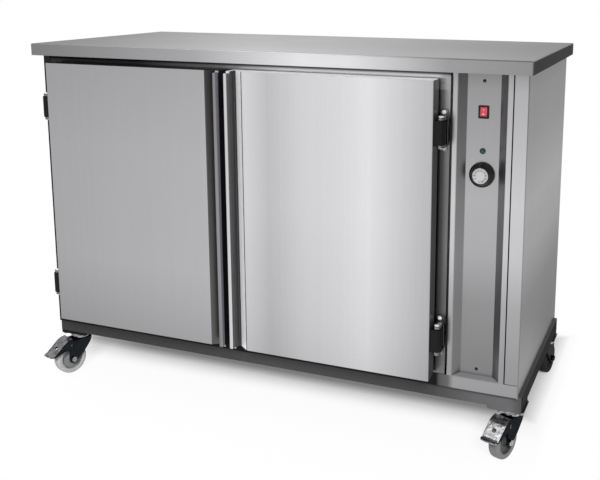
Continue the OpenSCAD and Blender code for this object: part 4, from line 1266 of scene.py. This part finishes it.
low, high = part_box("control_panel")
ends = (low.z + COLUMN_SCREW, high.z - COLUMN_SCREW)
places = [((column_mid, plate_face, z), COLUMN_SCREW_SIZE) for z in ends]
for side, sign in SIDES:
    x = joint_at[side + "_door_hinge"].x + sign * (BRACKET_MID - HINGE_OUT)
    for middle in hinge_middles(side + "_knuckles"):
        for away in (-BRACKET_SCREW, BRACKET_SCREW):
            places.append(((x, bracket_face, middle + away), 1.0))
screws = []
for place, size in places:
    twin = copy_of(screw, "front_screws_crossed")
    twin.location = place
    twin.scale = [size] * 3
    settle(twin)
    screws.append(twin)
bpy.data.objects.remove(screw)
column_screws = join(*screws[:len(ends)])
column_screws.name = "column_screws"
dress(column_screws, "dark_screw", "cabinet", "bright_screw")
dress(join(*screws[len(ends):]), "bright_screw", "cabinet", "bright_screw", "front_screws")

# %% [markdown]
# ## Base frame
# The cabinet stands on a frame of welded angle, sprayed dark grey, with a pad at each corner for a
# castor. A box is opened below and inset above, rounded at its corners and given a wall.

# %% Base frame
BASE_LEG = 30 * MM
BASE_WALL = 3 * MM
BASE_CORNER = 4 * MM
BASE_ROUND = 2.5 * MM
BASE_RIM = 5 * MM
PAD_W = 74 * MM
PAD_T = 8 * MM
PAD_CORNER = 5 * MM
PAD_ROUND = 1.0 * MM

low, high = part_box("base_frame")
frame_low = high.z - BASE_LEG
base = start_box("base_frame_angle", (low.x, low.y, frame_low), high)
pick(base, "FACE", facing("z", 1))
bpy.ops.mesh.inset(thickness=BASE_LEG)
bpy.ops.mesh.delete(type="FACE")
leave()
pick(base, "FACE", facing("z", -1))
bpy.ops.mesh.delete(type="FACE")
leave()
bevel_edges(base, running("z"), BASE_CORNER, 4)


def on_base_rim(middle, direction):
    at_side = abs(middle.x) > high.x - BASE_RIM
    at_end = middle.y < low.y + BASE_RIM or middle.y > high.y - BASE_RIM
    return middle.z > high.z - NEAR and (at_side or at_end)


bevel_edges(base, on_base_rim, BASE_ROUND, 3)
thicken(base, BASE_WALL)
pads = []
for x in (low.x, high.x - PAD_W):
    for y in (low.y, high.y - PAD_W):
        pad = start_box("pad", (x, y, low.z), (x + PAD_W, y + PAD_W, low.z + PAD_T))
        bevel_edges(pad, running("z"), PAD_CORNER, 4)
        soften(pad, PAD_ROUND)
        pads.append(pad)
base = join(base, *pads)
dress(base, "base_paint", "cabinet", "base_paint", "base_frame")


# Painted shade: the frame's sideways-facing ends and the pads on the left get the near-black copy
# of the paint.
def in_painted_base_shade(place, normal):
    left_pad = place.z < frame_low and place.x < 0
    return left_pad or abs(normal.x) > 0.7


repaint(base, ["base_end_paint"], by_face(base, in_painted_base_shade))

# %% [markdown]
# ## Castors
# Each castor is drawn once, with its swivel axis upright through the origin and its wheel trailing
# along X, then copied to the four corners and turned the way that the joints say. The fixed head
# has a bolted plate, an upper race and a kingpin with its nut. The fork is stamped from one sheet:
# a folded channel, cut to the fork's side outline by keeping what the two shapes share.

# %% Castor heads and forks
CORNERS = ("front_left", "front_right", "rear_right", "rear_left")
FLOOR = (0, 0, 0)
DOWN = (0, 0, -1)
HEX_ROUND = 0.8 * MM
swivel, axle, pivot = (joint_at["front_left_" + name] for name in ("swivel", "roll", "brake_lift"))
WHEEL_R, PIVOT_Z = axle.z, pivot.z
TRAIL = (axle.xy - swivel.xy).length
PIVOT_U = (pivot.xy - swivel.xy).length


def castor_copy(piece, corner, name):
    """A copy of a castor piece, turned to its heading and carried to its corner."""
    twin = copy_of(piece, corner + name)
    swivel, axle = joint_at[corner + "_swivel"], joint_at[corner + "_roll"]
    twin.rotation_euler.z = math.atan2(axle.y - swivel.y, axle.x - swivel.x)
    twin.location = (swivel.x, swivel.y, 0)
    settle(twin)
    return twin


def hexagon(name, radius, place, axis, height):
    """A bolt head: a hexagonal bar with its outer rim chamfered."""
    deselect()
    bpy.ops.mesh.primitive_cylinder_add(vertices=6, radius=radius, depth=height, location=place)
    obj = added(name)
    obj.rotation_euler = Vector(axis).to_track_quat("Z", "Y").to_euler()
    settle(obj)
    soften(obj, HEX_ROUND)
    return obj


HEAD_PLATE_T = 3 * MM
HEAD_HALF = 32 * MM
HEAD_CORNER = 6 * MM
NUT_R, NUT_H = 9 * MM, 5 * MM
BOLT_AT = 25 * MM
BOLT_R, BOLT_H = 5 * MM, 4 * MM

low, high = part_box("castor_heads")
plate_z = high.z - HEAD_PLATE_T
plate_low = (-HEAD_HALF, -HEAD_HALF, plate_z)
plate = start_box("castor_heads_pressed", plate_low, (HEAD_HALF, HEAD_HALF, high.z))
bevel_edges(plate, running("z"), HEAD_CORNER, 4)
soften(plate, PLATE_ROUND)
section = [(0, 106), (20, 106), (20.6, 104.8), (21.4, 104.2), (22.4, 101.6), (23, 100.6)]
section += [(23, 99.2), (22.3, 98.5), (0, 98.5)]
race = turned("race", mm(section), FLOOR, UP, 64)
kingpin = turned("kingpin", mm([(0, 99), (6, 99), (6, 88), (0, 88)]), FLOOR, UP, 32)
nut = hexagon("nut", NUT_R, (0, 0, low.z + NUT_H / 2), DOWN, NUT_H)
head_parts = [plate, race, kingpin, nut]
for x in (-BOLT_AT, BOLT_AT):
    for y in (-BOLT_AT, BOLT_AT):
        head_parts.append(hexagon("bolt", BOLT_R, (x, y, plate_z - BOLT_H / 2), DOWN, BOLT_H))
head = join(*head_parts)
heads = []
for corner in CORNERS:
    twin = copy_of(head, "castor_heads_pressed")
    swivel = joint_at[corner + "_swivel"]
    twin.location = (swivel.x, swivel.y, 0)
    settle(twin)
    heads.append(twin)
bpy.data.objects.remove(head)
dress(join(*heads), "race_zinc", "cabinet", "castor_zinc", "castor_heads")

FORK_WALL = 2.5 * MM
FORK_FOLD = 4 * MM
FORK_ROUND = 0.5 * MM
FORK_NOSE = 22 * MM
FORK_HEEL = 46 * MM
LEG_MID = 16.55 * MM
LEG_LOW = 20 * MM
CROWN_MID = 89.45 * MM
FOOT_R = 11 * MM
HEEL_BACK = 9 * MM
MOULD_HALF = 30 * MM
CUP_LOW = 91 * MM
line = [(-LEG_MID, LEG_LOW), (-LEG_MID, CROWN_MID), (LEG_MID, CROWN_MID), (LEG_MID, LEG_LOW)]
line = [(-FORK_NOSE - MM, v, z) for v, z in line]
fork_length = (FORK_NOSE + FORK_HEEL, 0, 0)
fork = folded_sheet("fork", line, fork_length, FORK_WALL, [(1, FORK_FOLD), (2, FORK_FOLD)])
side = mm([(25, 91.5), (-22, 91.5), (-22, 84.2), (-17.6, 74.2), (-8.8, 63.2), (3.3, 49)])
side += arc((TRAIL, WHEEL_R), FOOT_R, 210, 360, 12)
side.append((TRAIL + HEEL_BACK, PIVOT_Z))
outline = [(u, -MOULD_HALF, z) for u, z in side]
curves = [(corner, FORK_FOLD) for corner in (2, 3, 4, 5, len(side) - 1)]
carve(fork, prism("mould", outline, (0, 2 * MOULD_HALF, 0), curves), "INTERSECT")
soften(fork, FORK_ROUND, 2, 40)
cup = [(0, 90), (19.5, 90), (21.8, 91.4), (23, 93.2), (23, 96.6), (22.2, 98.2), (0, 98.2)]
fork = join(fork, turned("cup", mm(cup), FLOOR, UP, 64))
# Painted shade: the rear right castor's cup and axle get the dark fork zinc, since it lies in
# shade.
cup_zinc = {corner: "castor_zinc" for corner in CORNERS}
cup_zinc["rear_right"] = "fork_zinc"
for corner in CORNERS:
    twin = castor_copy(fork, corner, "_fork_stamped")
    dress(twin, "fork_zinc", corner + "_castor", "castor_zinc", corner + "_fork")
    repaint(twin, [cup_zinc[corner]], by_face(twin, lambda place, normal: place.z > CUP_LOW))
bpy.data.objects.remove(fork)

# %% [markdown]
# ## Wheels and axles
# A wheel is a turned part: a hub, a dished core and a pale tyre with a round crown. The faces of
# the core get the darker rubber. The axle is a bolt with a hexagonal head at each side.

# %% Wheels and axles
CORE_R = 27 * MM
AXLE_R = 4 * MM
LEG_OUT = 17.8 * MM
AXLE_HEAD_R, AXLE_HEAD_H = 7.5 * MM, 5 * MM
ACROSS = Vector((0, 1, 0))
hub = Vector((TRAIL, 0, WHEEL_R))
wheel_side = [(4.1, 15), (9.6, 15), (11, 14.2), (11.4, 8), (13, 6.4), (23, 6.0), (25.6, 7.0)]
wheel_side += [(26.6, 10.6), (27.4, 11.0), (28.2, 10.6), (29, 12.1), (31, 12.5), (35.4, 12.5)]
wheel_side += [(37.6, 11.6), (39.2, 9.6), (39.8, 6.0), (40, 2.5)]
other_side = [(radius, -height) for radius, height in reversed(wheel_side)]
wheel = turned("wheel", mm(wheel_side + other_side + wheel_side[:1]), hub, ACROSS, 96)
bar_section = [(0, -LEG_OUT), (AXLE_R, -LEG_OUT), (AXLE_R, LEG_OUT), (0, LEG_OUT)]
axle_parts = [turned("axle", bar_section, hub, ACROSS, 32)]
for way in (-1, 1):
    place = hub + ACROSS * way * (LEG_OUT + AXLE_HEAD_H / 2)
    axle_parts.append(hexagon("bolt", AXLE_HEAD_R, place, ACROSS * way, AXLE_HEAD_H))
axle = join(*axle_parts)
core_faces = by_face(wheel, lambda place, normal: (place - hub).xz.length < CORE_R)
# Painted shade: the front right wheel gets the darker copies of the rubber, and the rear right
# wheel the near-black one.
tyre_and_core = {
    "front_left": ("wheel_rubber", "wheel_core"),
    "front_right": ("worn_rubber", "worn_core"),
    "rear_right": ("sooty_rubber", "sooty_rubber"),
    "rear_left": ("wheel_rubber", "wheel_core"),
}
for corner, (tyre, core) in tyre_and_core.items():
    twin = castor_copy(wheel, corner, "_wheel_moulded")
    dress(twin, tyre, corner + "_roller", "wheel_rubber", corner + "_wheel")
    repaint(twin, [core], core_faces)
    twin = castor_copy(axle, corner, "_axle_bolt")
    dress(twin, cup_zinc[corner], corner + "_castor", "castor_zinc", corner + "_axle")
bpy.data.objects.remove(wheel)
bpy.data.objects.remove(axle)

# %% [markdown]
# ## Brake pedals
# The front castors have a stamped pedal over the wheel: a bent tread between two cheeks that turn
# on pins in the fork. The tread is a folded sheet with rounded bends, a round hole and two pressed
# ribs, and its curled tip is drawn in by scaling the end vertices.

# %% Brake pedals
PEDAL_T = 2.5 * MM
PEDAL_ROUND = 1.1 * MM
CHEEK_OUT = 20.6 * MM
CHEEK_BEND = 7 * MM
CHEEK_ROUND = 0.5 * MM
EAR = 6 * MM
HOLE_R = 5 * MM
HOLE_REACH = 10 * MM
RIB_HALF = 13 * MM
RIB_HALF_W = 2 * MM
RIB_AWAY = 12 * MM
RIB_RISE = 1.6 * MM
RIB_ROUND = 0.3 * MM
TIP_WIDTHS = ((90 * MM, 0.8), (95 * MM, 0.6))
bends = mm([(33.2, 93.4), (49.2, 90.4), (85.2, 59.2), (92, 59.8), (97, 62.2)])
line = [Vector((u, -CHEEK_OUT, z)) for u, z in bends]
curves = [(1, 9 * MM), (2, 6 * MM), (3, 3 * MM)]
tread = folded_sheet("tread", line, (0, 2 * CHEEK_OUT, 0), PEDAL_T, curves)
for beyond, width in TIP_WIDTHS:
    pick(tread, "VERT", lambda co: co.x > beyond)
    bpy.ops.transform.resize(value=(1, width, 1))
    leave()
slope = (line[2] - line[1]).normalized()
tread_normal = Vector((-slope.z, 0, slope.x))
hole_at = (line[1] + line[2]) / 2 + Vector((0, CHEEK_OUT, 0))
hole = [(0, -HOLE_REACH), (HOLE_R, -HOLE_REACH), (HOLE_R, HOLE_REACH), (0, HOLE_REACH)]
carve(tread, turned("hole", hole, hole_at, tread_normal, 32))
soften(tread, PEDAL_ROUND, 3, 40)
pedal_parts = [tread]
for away in (-RIB_AWAY, RIB_AWAY):
    foot = hole_at + slope * away + tread_normal * PEDAL_T / 4
    foot.y = -RIB_HALF
    crest = foot + tread_normal * RIB_RISE
    outline = [foot - slope * RIB_HALF_W, foot + slope * RIB_HALF_W]
    outline += [crest + slope * RIB_HALF_W / 2, crest - slope * RIB_HALF_W / 2]
    rib = prism("rib", outline, (0, 2 * RIB_HALF, 0))
    soften(rib, RIB_ROUND)
    pedal_parts.append(rib)
cheek_side = mm([(34.5, 94.7), (50.5, 91.7), (86.5, 60.5), (84, 58)])
cheek_side += arc((PIVOT_U, PIVOT_Z), EAR, -90, -190, 8)
for inner in (-CHEEK_OUT, CHEEK_OUT - PEDAL_T):
    outline = [(u, inner, z) for u, z in cheek_side]
    cheek = prism("cheek", outline, (0, PEDAL_T, 0), [(1, CHEEK_BEND)])
    soften(cheek, CHEEK_ROUND, 2, 40)
    pedal_parts.append(cheek)
rivet = [(0, 22.2), (1.6, 22.0), (3.2, 21.2), (3.6, 20.6), (3, 20.6), (3, 15.3), (0, 15.3)]
for way in (-1, 1):
    pedal_parts.append(turned("rivet", mm(rivet), (PIVOT_U, 0, PIVOT_Z), ACROSS * way, 24))
pedal = join(*pedal_parts)
# Painted shade: the faces that look sideways, mostly the cheeks, get the dark fork zinc.
cheek_faces = by_face(pedal, lambda place, normal: abs(normal.y) > 0.7)
for corner in CORNERS[:2]:
    twin = castor_copy(pedal, corner, "_pedal_stamped")
    dress(twin, "castor_zinc", corner + "_brake", "castor_zinc", corner + "_pedal")
    repaint(twin, ["fork_zinc"], cheek_faces)
bpy.data.objects.remove(pedal)

# %% [markdown]
# ## Pieces that keep their solids
# What lies inside or behind, such as the liners, shelves, fan and heater, already has its true
# shape in the frame. These nodes only get their finish.

# %% Carried-over nodes
carried = {
    "cabinet_steel": ["rear_panel"],
    # Painted shadow and reflection: the top rail, the right stile, and the near-black left stile
    # and mullion carry steel copies that paint their shade.
    "rail_steel": ["top_rail"],
    "frame_steel": ["left_stile", "centre_mullion"],
    "stile_steel": ["right_stile"],
    "liner_steel": ["left_liner", "rear_liner", "ceiling_liner", "floor_liner", "partition"]
    + ["shelf_rails", "left_shelf", "right_shelf", "air_baffle"],
    "core_board": ["worktop_core"],
    "mineral_wool": ["insulation", "left_door_core", "right_door_core"],
    "pale_plastic": ["thermostat"],
    "black_plastic": ["cable_gland"],
    "heater_tube": ["heating_element"],
    "motor_paint": ["fan_motor"],
    "impeller_metal": ["fan_impeller"],
}
for name, nodes in carried.items():
    for node in nodes:
        solid = frame["nodes"][node]
        solid.data.materials.clear()
        solid.data.materials.append(finish[name])
    print(name, "on", nodes)

# %% [markdown]
# ## Studio
# Metal shows its surroundings, so the room is part of its look. The camera sees a white sweep with
# the object's soft shadow. Reflections see a graded room: bright ahead of the doors and a little to
# their left, dark far to either side, and between the two behind. That grading helps to make one
# door darker than the other.

# %% Graded room
ROOM = [(-180, 0.50), (-165, 0.70), (-152, 0.95), (-140, 0.50), (-125, 0.30), (-92, 0.12)]
ROOM += [(-65, 0.30), (-45, 0.58), (-38, 0.72), (-30, 0.84), (-23, 1.0), (-12, 0.92), (0, 0.82)]
ROOM += [(10, 0.62), (25, 0.34), (45, 0.14), (70, 0.12), (95, 0.40), (130, 0.50), (165, 0.42)]
ROOM += [(180, 0.50)]


def background_rays(wire):
    """1 for a ray that shows the background, and 1 for one that is a reflection."""
    rays = ["Is Camera Ray", "Is Transmission Ray", "Is Glossy Ray"]
    seen, through, mirrored = (wire.node("ShaderNodeLightPath", {}, {}, ray) for ray in rays)
    return wire.maths("MAXIMUM", seen, through), mirrored


def room_level(wire, place):
    """How bright a reflection is, by the direction: 0 degrees is straight ahead of the doors."""
    ahead = 0 - coordinate(wire, place, "Y")
    turn = wire.maths("ARCTAN2", coordinate(wire, place, "X"), ahead)
    stops = [(0.5 + degrees / 360, grey(level)) for degrees, level in ROOM]
    return ramp(wire, 0.5 + turn * (1 / math.tau), stops)


print("Room levels:", len(ROOM))

# %% [markdown]
# The floor is white paper. What the camera sees of it glows a little, so that it stays white, and
# dims under the base, where the object's shade lies. What reflections see of it is graded like the
# room, and dim behind the object.

# %% Floor
FLOOR_SIZE = 60.0
PAPER = 0.94
SEEN_GLOW, FRONT_GLOW, MIRRORED_GLOW, BACK_GLOW = 0.30, 0.90, 0.85, 0.34
FRONT_EDGE, BACK_EDGE = -0.022, 0.45
SHADE_MID, SHADE_HALF = -0.068, 0.632
CONTACT_LEVEL, CONTACT_WIDTH = 0.62, 0.04
SIDE_FADE, FRONT_FADE = 0.07, 0.12
NEAR_FADE, NEAR_LEVEL = (-0.8, -0.3), 0.75
BEHIND_FADE = (0.2, 0.6)
GRADED_FROM = (-0.9, -1.4, 0)
deselect()
bpy.ops.mesh.primitive_plane_add(size=FLOOR_SIZE)
floor = added("floor")
sweep = bpy.data.materials.new("sweep")
sweep.use_nodes = True
wire = Wire(sweep.node_tree)
sweep.node_tree.nodes.remove(sweep.node_tree.nodes["Principled BSDF"])
seen, mirrored = background_rays(wire)
place = own_place(wire)
across, ahead = coordinate(wire, place, "X"), coordinate(wire, place, "Y")
patches = 0.85 + 0.3 * noise(wire, (0.6, 0.6, 0.6))
# Painted shade: what reflections see of the floor is dimmer near the object.
near = fade(wire, ahead, *NEAR_FADE, 1.0, NEAR_LEVEL)
behind = fade(wire, ahead, *BEHIND_FADE, 0.0, 1.0)
graded_place = wire.node("ShaderNodeMapping", {}, {"Vector": place, "Location": GRADED_FROM})
dimmed = (1 - behind) * room_level(wire, graded_place) * patches * near + behind * BACK_GLOW
# Painted shadow: under and beside the base, set a little to the left of the footprint, the paper's
# colour and the glow that the camera sees are darkened by place.
beside = wire.maths("ABSOLUTE", across - SHADE_MID, 0.0) - SHADE_HALF
apart = wire.maths("MAXIMUM", beside, ahead - BACK_EDGE)
before = FRONT_EDGE - ahead
outside = wire.maths("MAXIMUM", apart, before)
contact = fade(wire, outside, 0.0, CONTACT_WIDTH, CONTACT_LEVEL, 1.0)
level = seen * contact + (1 - seen) * dimmed
paper = wire.node("ShaderNodeBsdfDiffuse", {}, {"Color": PAPER * contact})
glow = wire.node("ShaderNodeEmission", {}, {"Color": grey(1.0), "Strength": level})
glow_apart = fade(wire, apart, 0.0, SIDE_FADE, SEEN_GLOW, 1.0)
glow_before = fade(wire, before, 0.0, FRONT_FADE, SEEN_GLOW, FRONT_GLOW)
seen_glow = wire.maths("MAXIMUM", glow_apart, glow_before)
share = seen_glow * seen + MIRRORED_GLOW * mirrored
mixed = wire.node("ShaderNodeMixShader", {}, {0: share, 1: paper, 2: glow})
mixed.into(sweep.node_tree.nodes["Material Output"], "Surface")
floor.data.materials.append(sweep)
print("Floor:", FLOOR_SIZE, "m wide")

# %% Sky
AMBIENT = 0.28
CEILING = 0.38
HORIZON = 0.12
DIM_FROM, DIM_LEVEL = 0.55, 0.3
CEILING_FROM = 0.40
world = bpy.data.worlds.new("studio")
bpy.context.scene.world = world
world.use_nodes = True
wire = Wire(world.node_tree)
seen, mirrored = background_rays(wire)
place = wire.node("ShaderNodeTexCoord", {}, {}, "Generated")
other = 1 - wire.maths("MAXIMUM", seen, mirrored)
height = coordinate(wire, place, "Z")
overhead = fade(wire, height, HORIZON, DIM_FROM, 1.0, DIM_LEVEL)
ceiling = fade(wire, height, HORIZON, CEILING_FROM, 0.0, CEILING)
reflected = wire.maths("MAXIMUM", room_level(wire, place) * overhead, ceiling)
level = seen + mirrored * reflected + other * AMBIENT
background = world.node_tree.nodes["Background"]
background.inputs["Color"].default_value = grey(1.0)
level.into(background, "Strength")
print("Sky ready")

# %% Lamps
def add_lamp(kind, name, place, target, settings):
    """A lamp at a place, turned to its target."""
    deselect()
    bpy.ops.object.light_add(type=kind, location=place)
    lamp = added(name)
    for setting, value in settings.items():
        setattr(lamp.data, setting, value)
    lamp.rotation_euler = (Vector(target) - Vector(place)).to_track_quat("-Z", "Y").to_euler()
    return lamp


SUN_FROM, KEY_FROM = (0.9, -2.2, 1.7), (-2.0, -1.3, 3.8)
KEY_TARGET = (0, 0, 0.5)
soft_sun = {"energy": 3.7, "angle": math.radians(18)}
sun = add_lamp("SUN", "overcast", SUN_FROM, FLOOR, soft_sun)
sun.visible_glossy = False
add_lamp("AREA", "key", KEY_FROM, KEY_TARGET, {"energy": 26, "size": 2.5})
print("Studio ready")
